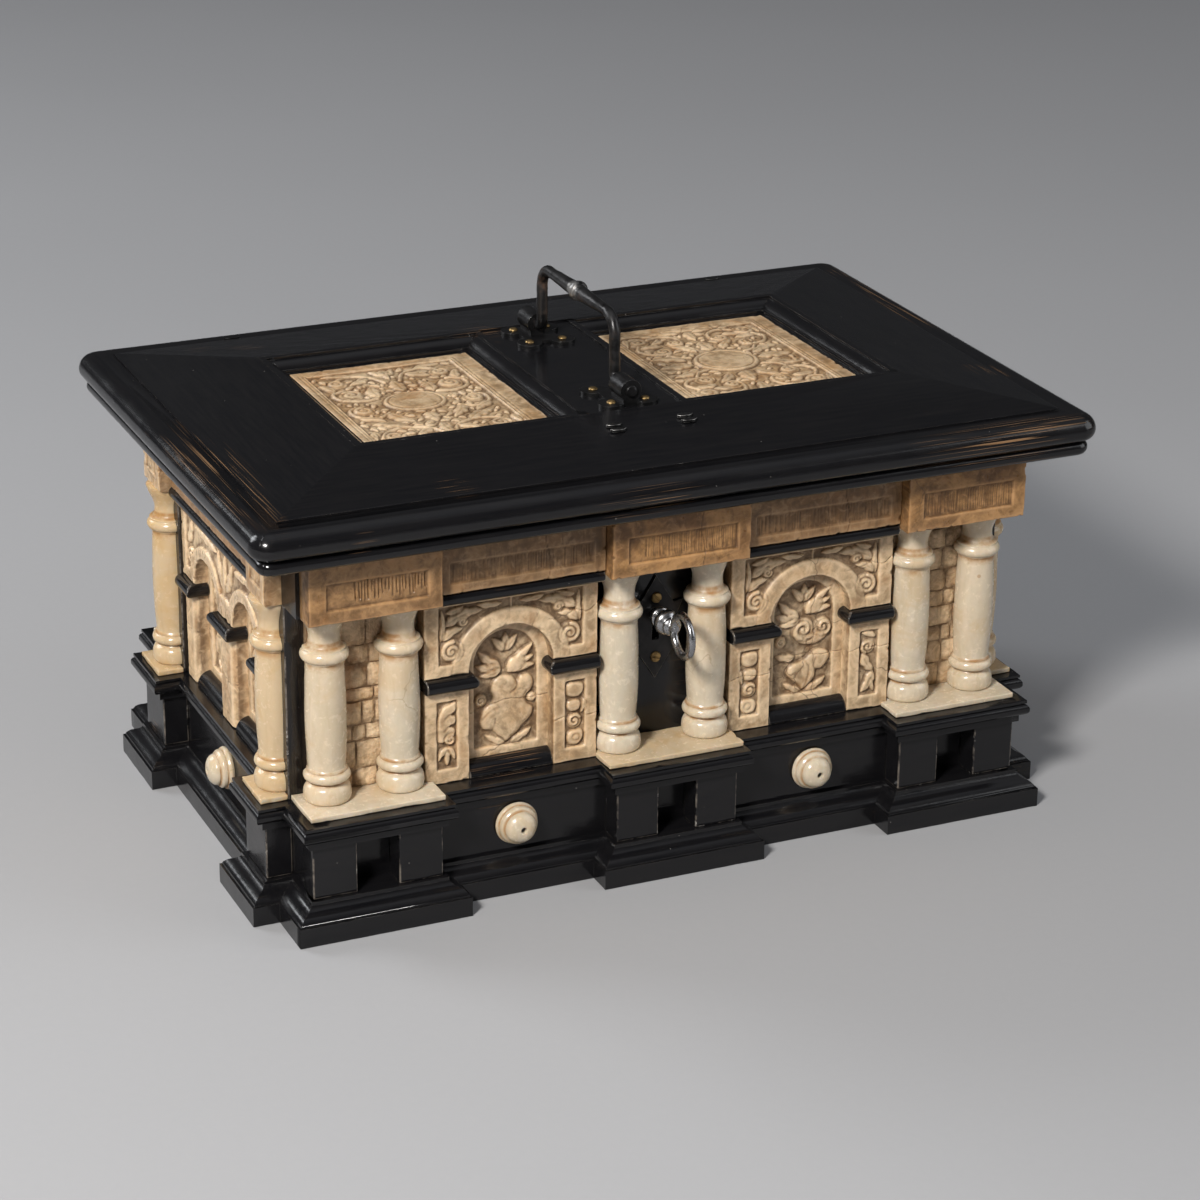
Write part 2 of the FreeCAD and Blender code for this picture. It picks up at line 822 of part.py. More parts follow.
def columns():
    """Six columns in front, six behind, and two half columns at each end."""
    axis = -size.half_depth - size.column_reach
    span = (-dado_x, dado_x)
    height = (plinth_top, carcass_top)
    wall = box("behind_centre_columns", span, (-size.half_depth, 0), height)
    brick = box("behind_corner_columns", span, (-size.half_depth - size.brick_panel, 0), height)
    places = {
        "column_front_1": (-outer_column_x, brick), "column_front_2": (-inner_column_x, brick),
        "column_front_3": (-size.centre_column, wall), "column_front_4": (size.centre_column, wall),
        "column_front_5": (inner_column_x, brick), "column_front_6": (outer_column_x, brick),
    }
    front = [flat_backed_column(label, x, axis, back) for label, (x, back) in places.items()]
    inside = box("behind_end_columns", (-post_x, 0), (-size.half_depth, size.half_depth), height)
    left = [
        flat_backed_column("column_left_1", -post_x, -end_middle, inside),
        flat_backed_column("column_left_2", -post_x, end_middle, inside),
    ]
    back_row = [turned_round(item.Name.replace("front", "back"), item) for item in front]
    right = [turned_round(item.Name.replace("left", "right"), item) for item in left]
    return front + [
        group("columns_back", back_row), group("columns_left", left), group("columns_right", right),
    ]


# Entablature: blocks over the columns, frieze plates and strips between them

def hinge_holes(label, y):
    """Holes for the legs of the hinge staples in the back."""
    radius = size.hinge_wire + size.running_gap
    level = hinge_z
    holes = []
    for side in (-1, 1):
        for leg in (-1, 1):
            x = side * hinge_x + leg * size.hinge_half
            holes.append(rod(label, "y", (x, y[0], level), as_size(y[1]) - y[0], radius))
    return holes


def entablature():
    """Everything between the columns and the lid."""
    height = (block_low, carcass_top)
    depth = (-block_y, -board_y)
    corner_end = dado_x - size.corner_block_inset
    corner_start = corner_inner - size.block_lap
    corner = box("corner_block_piece", (corner_start, corner_end), depth, height)
    front_blocks = group("front_blocks", [
        both_sides("corner_block_pair", corner), box(
            "centre_block_piece", (-centre_block, centre_block), depth, height,
        ),
    ])
    back_holes = hinge_holes("block_hinge_hole", (board_y - 1, block_y + 1))
    back_blocks = cut("back_blocks", turned_round("back_blocks_whole", front_blocks), back_holes)
    end_y = (-end_middle - size.end_block_half, size.end_block_half - end_middle)
    end = box("end_block_piece", (-post_x - size.end_block_reach, -post_x), end_y, height)
    left_blocks = both_sides("left_blocks", end, (0, 1, 0))
    front_board = box("front_entablature", (-post_x, post_x), (-board_y, -size.half_depth), height)
    back_board = cut("back_entablature", turned_round("back_entablature_whole", front_board),
                     hinge_holes("board_hinge_hole", (size.half_depth + 3, board_y + 1)))
    left_board = box(
        "left_entablature", (-post_x, -size.half_length), (-size.half_depth, size.half_depth), height,
    )
    frieze_low = block_low - size.strip_drop + size.strip_height
    frieze = box(
        "front_frieze", (centre_block, corner_start), (-board_y - size.frieze, -board_y),
        (frieze_low, carcass_top),
    )
    front_frieze = both_sides("front_friezes", frieze)
    end_gap = end_middle - size.end_block_half
    end_frieze = box(
        "left_frieze", (-post_x - size.end_frieze, -post_x), (-end_gap, end_gap),
        (frieze_low, carcass_top),
    )
    return [
        front_blocks, back_blocks, group(
            "end_blocks", [left_blocks, turned_round("right_blocks", left_blocks)],
        ),
        group("entablature_boards", [
            front_board, back_board, left_board, turned_round("right_entablature", left_board),
        ]),
        group("frieze_plates", [
            front_frieze, turned_round("back_friezes", front_frieze), end_frieze,
            turned_round("right_frieze", end_frieze),
        ]),
        strip_mouldings(frieze_low, corner_start, end_gap),
    ]


def strip_mouldings(top, corner_start, end_gap):
    """Half-round black strips under the frieze plates."""
    low = top - size.strip_height
    radius = size.strip_height / 2
    middle = low + radius
    length = corner_start - centre_block
    front_face = -board_y - size.strip_reach
    front_round = fuse("front_strip_rounded", [
        box(
            "front_strip_flat", (centre_block, corner_start), (front_face + radius, -board_y),
            (low, top),
        ),
        rod("front_strip_round", "x", (centre_block, front_face + radius, middle), length, radius),
    ])
    front_room = box(
        "front_strip_room", (centre_block, corner_start), (front_face, -board_y), (low, top),
    )
    front = common("front_strip", front_round, front_room)
    fronts = both_sides("front_strips", front)
    end_face = -post_x - size.end_strip_reach
    left_round = fuse("left_strip_rounded", [
        box("left_strip_flat", (end_face + radius, -post_x), (-end_gap, end_gap), (low, top)),
        rod("left_strip_round", "y", (end_face + radius, -end_gap, middle), 2 * end_gap, radius),
    ])
    left_room = box("left_strip_room", (end_face, -post_x), (-end_gap, end_gap), (low, top))
    left = common("left_strip", left_round, left_room)
    return group("strip_mouldings", [
        fronts, turned_round("back_strips", fronts), left, turned_round("right_strip", left),
    ])


# Arched bays

def bay_pieces():
    """One front bay: niche panel, arch head, two piers, two imposts and a sill."""
    x = (bay_inner, bay_outer)
    left_edge, right_edge = bay_middle - size.arch_half, bay_middle + size.arch_half
    depth = (-arch_y, -niche_y)
    opening = rod(
        "front_arch", "y", (bay_middle, -arch_y - 1, spring), size.arch_plate + 2, size.arch_half,
    )
    sill_height = size.arch_plate
    sill_round = rod(
        "front_sill_round", "x", (left_edge, -niche_y, plinth_top), 2 * size.arch_half, sill_height,
    )
    sill_box = box(
        "front_sill_box", (left_edge, right_edge), depth, (plinth_top, plinth_top + sill_height),
    )
    return {
        "niche": box("front_niche", x, (-niche_y, -size.half_depth), (plinth_top, block_low)),
        "head": cut("front_head", box("front_head_plate", x, depth, (spring, block_low)), [opening]),
        "piers": group("front_bay_piers", [
            box("front_pier_inner", (bay_inner, left_edge), depth, (plinth_top, pier_top)),
            box("front_pier_outer", (right_edge, bay_outer), depth, (plinth_top, pier_top)),
        ]),
        "imposts": group("front_bay_imposts", [
            impost("impost_inner", bay_inner, left_edge + size.impost_return, 1),
            impost("impost_outer", bay_outer, right_edge - size.impost_return, -1),
        ]),
        "sill": common("front_sill", sill_box, sill_round),
    }


def impost(label, plain_end, round_end, way):
    """A black impost across a pier top, rounded in front and where it returns into the arch."""
    radius = size.impost_height / 2
    middle = pier_top + radius
    height = (pier_top, spring)
    front = -arch_y - size.impost_reach
    depth = size.arch_plate + size.impost_reach
    low, high = (plain_end, round_end) if way > 0 else (round_end, plain_end)
    across = fuse(label + "_across", [
        box(label + "_across_flat", (low, high), (front + radius, -niche_y), height),
        rod(label + "_across_round", "x", (low, front + radius, middle), as_size(high) - low, radius),
    ])
    centre = round_end - way * radius
    flat = (plain_end, centre) if way > 0 else (centre, plain_end)
    into = fuse(label + "_into", [
        box(label + "_into_flat", flat, (front, -niche_y), height),
        rod(label + "_into_round", "y", (centre, front, middle), depth, radius),
    ])
    return common(label, across, into)


def end_bay_pieces():
    """The double arcade of the left end."""
    half = size.half_depth - size.corner_post
    depth = (-end_arch_x, -niche_x)
    middle = size.end_pier_half + size.end_arch_half
    far = size.end_pier_half + 2 * size.end_arch_half
    arches = [
        rod(
            "end_arch", "x", (-end_arch_x - 1, side * middle, spring), size.end_arch_plate + 2,
            size.end_arch_half,
        )
        for side in (-1, 1)
    ]
    sill = common("end_sill", box(
        "end_sill_box", depth, (size.end_pier_half, far), (plinth_top, plinth_top + size.end_arch_plate),
    ),
                  rod(
                      "end_sill_round", "y", (-niche_x, size.end_pier_half, plinth_top),
                      2 * size.end_arch_half, size.end_arch_plate,
                  ))
    outer_pier = box("end_pier_outer", depth, (far, half), (plinth_top, pier_top))
    return {
        "niche": box("end_niche", (-niche_x, -size.half_length), (-half, half), (plinth_top, block_low)),
        "head": cut("end_head", box("end_head_plate", depth, (-half, half), (spring, block_low)), arches),
        "piers": group("end_bay_piers", [
            box(
                "end_pier_centre", depth, (-size.end_pier_half, size.end_pier_half),
                (plinth_top, pier_top),
            ),
            both_sides("end_piers_outer", outer_pier, (0, 1, 0)),
        ]),
        "imposts": group("end_bay_imposts", [
            end_impost("end_impost_centre", (-size.end_pier_half, size.end_pier_half), (-1, 1)),
            both_sides(
                "end_imposts_outer", end_impost("end_impost_outer", (far, half), (-1,)), (0, 1, 0),
            ),
        ]),
        "sill": both_sides("end_sills", sill, (0, 1, 0)),
    }


def end_impost(label, y, returns):
    """An impost on the left end, with rounded returns at the ends named by their sign."""
    radius = size.impost_height / 2
    middle = pier_top + radius
    height = (pier_top, spring)
    front = -end_arch_x - size.impost_reach
    low = y[0] - size.impost_return if -1 in returns else y[0]
    high = y[1] + size.impost_return if 1 in returns else y[1]
    across = fuse(label + "_across", [
        box(label + "_across_flat", (front + radius, -niche_x), (low, high), height),
        rod(label + "_across_round", "y", (front + radius, low, middle), as_size(high) - low, radius),
    ])
    flat_low = low + radius if -1 in returns else low
    flat_high = high - radius if 1 in returns else high
    into = [box(label + "_into_flat", (front, -niche_x), (flat_low, flat_high), height)]
    for centre in [flat_low] * (-1 in returns) + [flat_high] * (1 in returns):
        into.append(rod(
            label + "_into_round", "x", (front, centre, middle), size.end_arch_plate + size.impost_reach,
            radius,
        ))
    return common(label, across, fuse(label + "_into", into))


def arched_bays():
    """All the bays, gathered into like pieces."""
    front, end = bay_pieces(), end_bay_pieces()
    pairs = {kind: both_sides(f"front_{kind}_pair", item) for kind, item in front.items()}
    backs = {kind: turned_round(f"back_{kind}_pair", item) for kind, item in pairs.items()}
    rights = {kind: turned_round(f"right_{kind}", item) for kind, item in end.items()}
    brick_x = (bay_outer + size.column_gap, outer_column_x + size.brick_past_column)
    brick = box(
        "brick_panel", brick_x, (-size.half_depth - size.brick_panel, -size.half_depth),
        (slab_top, block_low),
    )
    bricks = both_sides("front_bricks", brick)

    def gathered(label, kind):
        return group(label, [pairs[kind], backs[kind], end[kind], rights[kind]])

    return [
        group("arch_heads_front", [pairs["head"]]),
        group("arch_heads_back", [backs["head"]]),
        group("arcade_heads_ends", [end["head"], rights["head"]]),
        group("niche_panels_front", [pairs["niche"]]),
        group("niche_panels_back", [backs["niche"]]),
        group("niche_panels_ends", [end["niche"], rights["niche"]]),
        gathered("pier_plates", "piers"),
        gathered("imposts", "imposts"),
        gathered("niche_sills", "sill"),
        group("brick_panels", [bricks, turned_round("back_bricks", bricks)]),
    ]


# Turned alabaster bosses on the dado

def bosses():
    """A ringed boss and its pin in the middle of each bay."""
    third = size.boss_radius / 3
    hole = size.boss_pin_radius + size.running_gap
    outline = [
        (hole, 0), (size.boss_radius - 0.6, 0, 1.7), (size.boss_radius - 0.6, size.boss_height / 4),
        (
            size.boss_radius - 1.0, size.boss_height / 4 + 0.4, 2.4,
        ), (size.boss_radius - third / 2 - 0.5, size.boss_height * 0.55),
        (
            size.boss_radius - third / 2 - 0.9, size.boss_height * 0.55 + 0.4, 6.5,
        ), (hole + 0.6, size.boss_height), (hole, size.boss_height),
    ]
    level = boss_level
    to_left = FreeCAD.Rotation(FreeCAD.Vector(0, 1, 0), -90)
    pin_length = size.boss_pin_depth + size.boss_height - 1.5
    front = turned("front_boss", outline, (bay_middle, -dado_y, level), to_front)
    left = turned("left_boss", outline, (-dado_x, 0, level), to_left)
    front_pin = rod(
        "front_boss_pin", "y", (bay_middle, -dado_y - size.boss_height + 1.5, level), pin_length,
        size.boss_pin_radius,
    )
    left_pin = rod(
        "left_boss_pin", "x", (-dado_x - size.boss_height + 1.5, 0, level), pin_length,
        size.boss_pin_radius,
    )
    fronts, front_pins = both_sides("front_bosses", front), both_sides("front_boss_pins", front_pin)
    return [
        group(
            "dado_bosses",
            [fronts, turned_round("back_bosses", fronts), left, turned_round("right_boss", left)],
        ),
        group("boss_pins", [
            front_pins, turned_round("back_boss_pins", front_pins),
            left_pin, turned_round("right_boss_pin", left_pin),
        ]),
    ]


# Lid

def rectangle(half_x, half_y):
    """Plan corners of a centred rectangle, anticlockwise from the front left."""
    return [(-half_x, -half_y), (half_x, -half_y), (half_x, half_y), (-half_x, half_y)]


def hasp_holes(label, low, high):
    """Holes for the legs of the lid's hasps."""
    radius = size.hasp_wire + size.running_gap
    return [
        rod(
            label, "z", (side * size.hasp_from_middle, hasp_y + leg * size.hasp_half, low),
            as_size(high) - low, radius,
        )
        for side in (-1, 1) for leg in (-1, 1)
    ]


def lid():
    """Board, bullnose edge, hipped slopes, panel frames, centre band and alabaster panels."""
    board = box("lid_board_whole", (-lid_x, lid_x), (-lid_y, lid_y), (lid_low, board_top))
    bead_top = lid_low + size.bead_height
    nose_out = nose_low + size.edge_lower_bend
    edge_profile = [
        (0, lid_low), (size.edge_bead - 1.2, lid_low, 3.1), (size.edge_bead - 1.2, bead_top),
        (
            size.edge_reach - size.edge_lower_bend, nose_low, size.edge_lower_bend,
        ), (size.edge_reach, nose_out, size.edge_upper_bend),
        (size.edge_reach - size.edge_upper_bend, edge_top), (0, edge_top),
    ]
    edges = shaped(
        "lid_edges_whole", Part.makeCompound(mitred_runs(rectangle(lid_x, lid_y), edge_profile)),
    )
    shank_holes = [
        rod("cotter_hole", "z", (
            side * hinge_x, hinge_y, lid_low - 1,
        ), edge_top - lid_low + 2,
            size.cotter_radius + size.running_gap) for side in (-1, 1)
    ]
    lip = size.slope_run
    slope_profile = [
        (0, board_top), (lip - size.quirk, board_top), (lip - size.quirk, edge_top), (lip, edge_top),
        (
            lip, edge_top + size.slope_lip * 0.7,
        ), (lip - size.slope_lip, edge_top + size.slope_lip), (0, ridge_top),
    ]
    slopes = shaped(
        "slope_boards_whole", Part.makeCompound(mitred_runs(rectangle(ridge_x, ridge_y), slope_profile)),
    )
    panel_x = (size.band_half + size.frame_width, ridge_x - size.frame_width)
    panel_y = ridge_y - size.frame_width
    panel_plan = [
        (panel_x[0], -panel_y), (panel_x[1], -panel_y), (panel_x[1], panel_y), (panel_x[0], panel_y),
    ]
    panel_top = board_top + size.lid_panel
    frame_profile = [
        (0, board_top), (size.frame_width, board_top), (size.frame_width, ridge_top), (
            size.frame_width - size.frame_fillet, ridge_top,
        ),
        (
            size.frame_width - size.frame_fillet, ridge_top - 1.0, 5.0,
        ), (2.6, panel_top + 1.2), (1.4, panel_top + 1.2),
        (1.4, panel_top), (0, panel_top),
    ]
    frame = shaped("right_panel_frame", Part.makeCompound(mitred_runs(panel_plan, frame_profile)))
    panel = box("right_lid_panel", panel_x, (-panel_y, panel_y), (board_top, panel_top))
    return [
        cut("lid_board", board, hasp_holes("board_hasp_hole", lid_low - 1, board_top + 1)),
        cut("lid_edge_mouldings", edges, shank_holes),
        cut("lid_slope_boards", slopes, hasp_holes("slope_hasp_hole", board_top - 1, ridge_top + 1)),
        frame, turned_round("left_panel_frame", frame), panel, turned_round("left_lid_panel", panel),
        centre_band(),
    ]


def nail_places():
    """Plan places of the nails in the front handle plate."""
    plate_middle = ridge_y - size.plate_from_ridge
    rows = [-plate_middle - size.plate_half_length, size.plate_half_length - plate_middle]
    return [(side * size.plate_half_width, row) for side in (-1, 1) for row in rows]


def centre_band():
    """The flat band between the panels, drilled for the nails of both handle plates."""
    top = board_top + size.band_height
    blank = box(
        "centre_band_blank", (-size.band_half, size.band_half), (-ridge_y, ridge_y), (board_top, top),
    )
    depth = size.nail_depth + size.running_gap
    holes = group("front_nail_holes", [
        rod(
            "band_nail_hole", "z", (x, y, top - depth), depth + 1, size.nail_shank,
        ) for x, y in nail_places()
    ])
    return cut("lid_centre_band", blank, [holes, turned_round("rear_nail_holes", holes)])


# Handle

def handle():
    """Two plates with rolled eyes, their nails, and the bail that swings in the eyes."""
    band_top = board_top + size.band_height
    plate_top = band_top + size.plate_thickness
    axis = plate_top + size.eye_lift
    leg = ridge_y - size.leg_from_ridge
    plate_middle = ridge_y - size.plate_from_ridge
    eye_start = leg + size.bail_elbow + 0.6
    thickness = (band_top, plate_top)
    corners = nail_places()
    lobes = [
        rod("plate_lobe", "z", (x, y, band_top), size.plate_thickness, size.plate_lobe)
        for x, y in corners
    ]
    sheet_y = (-plate_middle - size.plate_half_length, size.plate_half_length - plate_middle)
    blank = box("plate_sheet", (-size.plate_half_width, size.plate_half_width), sheet_y, thickness)
    foot = box(
        "eye_foot", (-size.eye_radius * 0.7, size.eye_radius * 0.7),
        (-eye_start - size.eye_length, -eye_start), (band_top, axis),
    )
    eye = rod("eye_tube", "y", (0, -eye_start - size.eye_length, axis), size.eye_length, size.eye_radius)
    bore = rod(
        "eye_bore", "y", (0, -eye_start - size.eye_length - 1, axis), size.eye_length + 2,
        size.bail_radius + size.running_gap,
    )
    nail_holes = [
        rod(
            "plate_nail_hole", "z", (x, y, band_top - 1), size.plate_thickness + 2, size.nail_shank,
        ) for x, y in corners
    ]
    front_plate = cut(
        "handle_plate_front", fuse("plate_forging", lobes + [blank, foot, eye]), [bore] + nail_holes,
    )
    shank = size.nail_shank - size.running_gap
    foot_of_nail = -size.plate_thickness - size.nail_depth
    nail_outline = [
        (0, foot_of_nail), (shank, foot_of_nail), (shank, 0),
        (size.nail_head, 0, 2.4), (0.4, 1.0), (0, 1.0),
    ]
    nails = [turned("handle_nail", nail_outline, (x, y, plate_top)) for x, y in corners]
    front_nails = group("front_handle_nails", nails)
    end = eye_start + size.eye_length + size.pin_end
    top = axis + size.bail_rise
    route = [
        (0, -end, axis), (0, -leg, axis), (0, -leg, top), (0, leg, top), (0, leg, axis), (0, end, axis),
    ]
    rod_shape = bent_rod(
        route, [size.bail_elbow, size.bail_bend, size.bail_bend, size.bail_elbow], size.bail_radius,
    )
    bail_rod = shaped("bail_rod", rod_shape)
    ring = size.grip_ring_half
    swell = ring + size.grip_swell
    grip_half = leg - size.bail_bend - size.grip_end
    ring_edge = size.grip_ring - 0.5
    grip_outline = [
        (0, -grip_half), (size.bail_radius, -grip_half), (size.grip_radius, -swell),
        (size.grip_radius, -ring), (ring_edge, -ring, ring * 1.3), (ring_edge, ring),
        (size.grip_radius, ring), (size.grip_radius, swell), (size.bail_radius, grip_half), (0, grip_half),
    ]
    grip = turned("bail_grip", grip_outline, (0, 0, top), TURNS["y"])
    return [
        group("handle_plates", [front_plate, turned_round("handle_plate_rear", front_plate)]),
        group("handle_nails", [front_nails, turned_round("rear_handle_nails", front_nails)]),
        fuse("handle_bail", [bail_rod, grip]),
    ]


# Wire hinges and hasps

def clinch(label, x, y, z):
    """The end of a wire, hammered over flat on the lid."""
    half_length, half_width = size.clinch_length / 2, size.clinch_width / 2
    outline = [
        (-half_length, 0, half_length), (0, -half_width, half_length),
        (half_length, 0, half_length), (0, half_width, half_length),
    ]
    return sawn(label, "XY_Plane", outline, size.clinch_thickness, (x, y, z))


def hinges():
    """A staple in the back for each hinge, and a cotter whose eye turns on it."""
    y, z = hinge_y, hinge_z
    staples, cotters = [], []
    for side in (-1, 1):
        x = side * hinge_x
        near, far = x - size.hinge_half, x + size.hinge_half
        route = [(near, y - size.hinge_leg, z), (near, y, z), (far, y, z), (far, y - size.hinge_leg, z)]
        bend = size.hinge_wire * 1.4
        staples.append(shaped("hinge_staple", bent_rod(route, [bend, bend], size.hinge_wire)))
        half_width = size.hinge_eye_width / 2
        eye = rod("cotter_eye", "x", (x - half_width, y, z), size.hinge_eye_width, hinge_radius)
        shank = rod("cotter_shank", "z", (x, y, z), edge_top - z, size.cotter_radius)
        bore = rod(
            "cotter_bore", "x", (x - half_width - 1, y, z), size.hinge_eye_width + 2,
            size.hinge_wire + size.running_gap,
        )
        solid = fuse("cotter_forging", [eye, shank, clinch("cotter_clinch", x, y, edge_top)])
        cotters.append(cut("cotter", solid, [bore]))
    return [group("hinge_staples", staples), group("hinge_cotters", cotters)]


def slope_surface(y):
    """Height at which a clinched wire end just clears the front slope."""
    slope = (ridge_top - edge_top - size.slope_lip) / (size.slope_run - size.slope_lip)
    return ridge_top - slope * (-1 * y - size.clinch_width / 2 - ridge_y)


def hasps():
    """Two wire loops under the lid that the bolt's fingers pass through."""
    low = lid_low - size.hasp_drop
    middle = hasp_y
    front, back = middle - size.hasp_half, middle + size.hasp_half
    pieces = []
    front_top, back_top = slope_surface(front), slope_surface(back)
    for side in (-1, 1):
        x = side * size.hasp_from_middle
        route = [(x, front, front_top), (x, front, low), (x, back, low), (x, back, back_top)]
        bend = size.hasp_wire * 1.6
        loop = shaped("hasp_wire_loop", bent_rod(route, [bend, bend], size.hasp_wire))
        leaves = [clinch("hasp_clinch", x, front, front_top), clinch("hasp_clinch", x, back, back_top)]
        pieces.append(fuse("hasp", [loop] + leaves))
    return group("lid_hasps", pieces)


# Lock

def lock():
    """Plate, screws, case, cover, bolt and key."""
    wall = -size.half_depth
    inner = -size.half_depth + size.long_board
    pocket = wall + size.lock_skin
    plate_front = wall - size.lock_plate
    x = (-lock_half, lock_half)
    height = (lock_low, carcass_top)
    hollow_x = (size.lock_sheet - lock_half, lock_half - size.lock_sheet)
    hollow = box(
        "case_hollow", hollow_x, (pocket + size.lock_sheet, inner + 1),
        (lock_low + size.lock_sheet, carcass_top + 1),
    )
    hole = keyhole(
        "case_keyhole", size.key_radius + 0.4, size.bit_half + 0.5,
        (pocket - 1, pocket + size.lock_sheet + 1),
    )
    cover_y = (inner - size.lock_sheet, inner)
    case_solid = box("case_solid", x, (pocket, inner - size.lock_sheet), height)
    screw_z = screw_levels()
    screw_holes = [
        rod(
            "case_screw_hole", "y", (0, pocket - 1, level), size.lock_sheet + 2,
            size.screw_shank + size.running_gap,
        )
        for level in screw_z
    ]
    studs = [
        rod(
            "bolt_stud", "y", (place, pocket, stud_z),
            size.long_board - size.lock_skin - size.lock_sheet, size.bolt_stud,
        )
        for place in (-stud_x, stud_x)
    ]
    case = fuse("lock_case", [cut("case_tray", case_solid, [hollow, hole] + screw_holes)] + studs)
    pin = rod(
        "drill_pin_rod", "y", (0, inner - size.lock_sheet - size.drill_length, key_level),
        size.drill_length, size.drill_pin,
    )
    cover = fuse("lock_cover", [box("cover_sheet", x, cover_y, height), pin])
    head = size.screw_head
    shank = size.lock_plate + size.lock_skin + size.lock_sheet
    screw_outline = [
        (0, -shank), (size.screw_shank, -shank), (size.screw_shank, 0), (head, 0),
        (head, size.screw_head_height / 2, head * 1.6), (0.5, size.screw_head_height),
        (0, size.screw_head_height),
    ]
    screws = []
    for level in screw_z:
        blank = turned("screw_blank", screw_outline, (0, plate_front, level), to_front)
        slot = box(
            "screw_slot", (-0.35, 0.35), (plate_front - size.screw_head_height - 1, plate_front - 0.5),
            (level - head, level + head),
        )
        screws.append(cut("screw", blank, [slot]))
    return [
        lock_plate(plate_front, wall, screw_z), group("lock_screws", screws), case, cover, lock_bolt(),
        key(),
    ]


def lock_plate(front, back, screw_z):
    """A pointed iron plate with a keyhole."""
    half_height = size.lock_plate_half_height
    half_width = size.lock_plate_half_width
    waist = size.lock_plate_waist
    quarter = [
        (waist, half_height * 0.44), (half_width * 0.9, half_height * 0.47),
        (waist * 1.15, half_height * 0.2),
    ]
    right = [(half_width, 0)] + [(u, v) for u, v in reversed(quarter)]
    outline = (
        right + [(0, half_height)] + [(-u, v) for u, v in quarter] + [(-half_width, 0)]
        + [(-u, -v) for u, v in reversed(quarter)] + [(0, -half_height)] + [(u, -v) for u, v in quarter]
    )
    blank = sawn(
        "lock_plate_blank", "XZ_Plane", outline, size.lock_plate, (0, back, plate_level),
    )
    hole = keyhole(
        "plate_keyhole", size.key_radius + size.running_gap, size.bit_half + 0.3, (front - 1, back + 1),
    )
    holes = [
        rod(
            "plate_screw_hole", "y", (0, front - 1, level), size.lock_plate + 2,
            size.screw_shank + size.running_gap,
        ) for level in screw_z
    ]
    return cut("lock_plate", blank, [hole] + holes)


def lock_bolt():
    """A sliding plate: teeth for the key bit below, fingers for the hasps above."""
    y = (-size.half_depth + size.bolt_start, -size.half_depth + size.bolt_start + size.bolt_thickness)
    arm = (-bolt_reach, size.bolt_arm - bolt_reach)
    rail = (stud_z - size.bolt_rail_half, stud_z + size.bolt_rail_half)
    finger_low = lid_low - size.hasp_drop + size.hasp_wire + size.finger_lift
    finger = (finger_low, finger_low + size.bolt_arm)
    tooth = (bar_top, bar_top + size.bolt_tooth)
    left_tooth = -size.bit_half - size.left_tooth_room
    right_tooth = size.bit_half + size.right_tooth_room
    bar_end = right_tooth + size.bolt_tooth * 1.3
    tip = size.hasp_from_middle - bolt_clear
    stem = (tip - size.bolt_throw - size.bolt_arm, tip - size.bolt_throw)
    solid = fuse("bolt_blank", [
        box("bolt_arm", arm, y, (bar_low, finger[1])),
        box("bolt_bar", (arm[0], bar_end), y, (bar_low, bar_top)),
        box("bolt_tooth_left", (left_tooth - size.tooth_width, left_tooth), y, tooth),
        box("bolt_tooth_right", (right_tooth, right_tooth + size.tooth_width), y, tooth),
        box("bolt_rail", (arm[0], stud_x + size.bolt_rail_end), y, rail),
        box("bolt_finger_left", (arm[0], -size.hasp_from_middle - bolt_clear), y, finger),
        box("bolt_stem_right", stem, y, (rail[0], finger[1])),
        box("bolt_finger_right", (stem[0], tip), y, finger),
    ])
    radius = size.bolt_stud + size.running_gap
    slots = []
    for place in (-stud_x, stud_x):
        ends = (place - size.bolt_throw - size.slot_room, place + size.slot_room)
        slots.append(box("bolt_slot", ends, (y[0] - 1, y[1] + 1), (stud_z - radius, stud_z + radius)))
        slots += [
            rod("bolt_slot_end", "y", (end, y[0] - 1, stud_z), size.bolt_thickness + 2, radius)
            for end in ends
        ]
    return cut("lock_bolt", solid, slots)


def key():
    """A steel key with ringed collar, round bow, bit and piped end."""
    tip = -size.half_depth + size.key_tip
    collar_end = -size.half_depth - size.lock_plate - size.key_collar_start
    length = size.key_collar_length
    shank_length = tip - collar_end
    collar, plain = size.key_collar, size.key_radius
    bow_start = shank_length + length
    ring, bead = shank_length + 0.6, shank_length + 5.0
    last = bead + 6.2
    outline = [
        (0, 0), (plain, 0), (plain, shank_length),
        (collar, ring, 1.4), (collar, ring + 2.0), (plain, ring + 2.6), (plain, bead - 0.6),
        (collar, bead, 2.6), (collar, bead + 4.4), (plain, bead + 5.2),
        (plain + 0.6, last, 1.2), (plain + 0.6, last + 1.8), (plain - 0.8, bow_start),
        (plain - 1.2, bow_start + 1.4), (0, bow_start + 1.4),
    ]
    stem = turned("key_stem", outline, (0, tip, key_level), to_front)
    bow = doc.addObject("Part::Torus", "key_bow_ring")
    bind(bow, "Radius1", size.key_bow)
    bind(bow, "Radius2", size.key_bow_wire)
    put(bow, (0, tip - bow_start - size.key_bow, key_level), TURNS["x"])
    bit_y = -size.half_depth + size.bit_start
    bit = box(
        "key_bit", (-size.bit_half, size.bit_half), (bit_y, bit_y + size.bit_width),
        (key_level - size.bit_reach, key_level),
    )
    bore = rod(
        "key_pipe", "y", (0, tip - size.drill_length - 0.3, key_level), size.drill_length + 1.3,
        size.drill_pin + size.running_gap,
    )
    return cut("key", fuse("key_forging", [stem, bow, bit]), [bore])


def build():
    """Every sub-part, in the order in which it would be put together."""
    return [
        *carcass(), *plinth(), column_slabs(), *columns(), *entablature(), *arched_bays(), *bosses(),
        *lid(), *handle(), *hinges(), hasps(), *lock(),
    ]


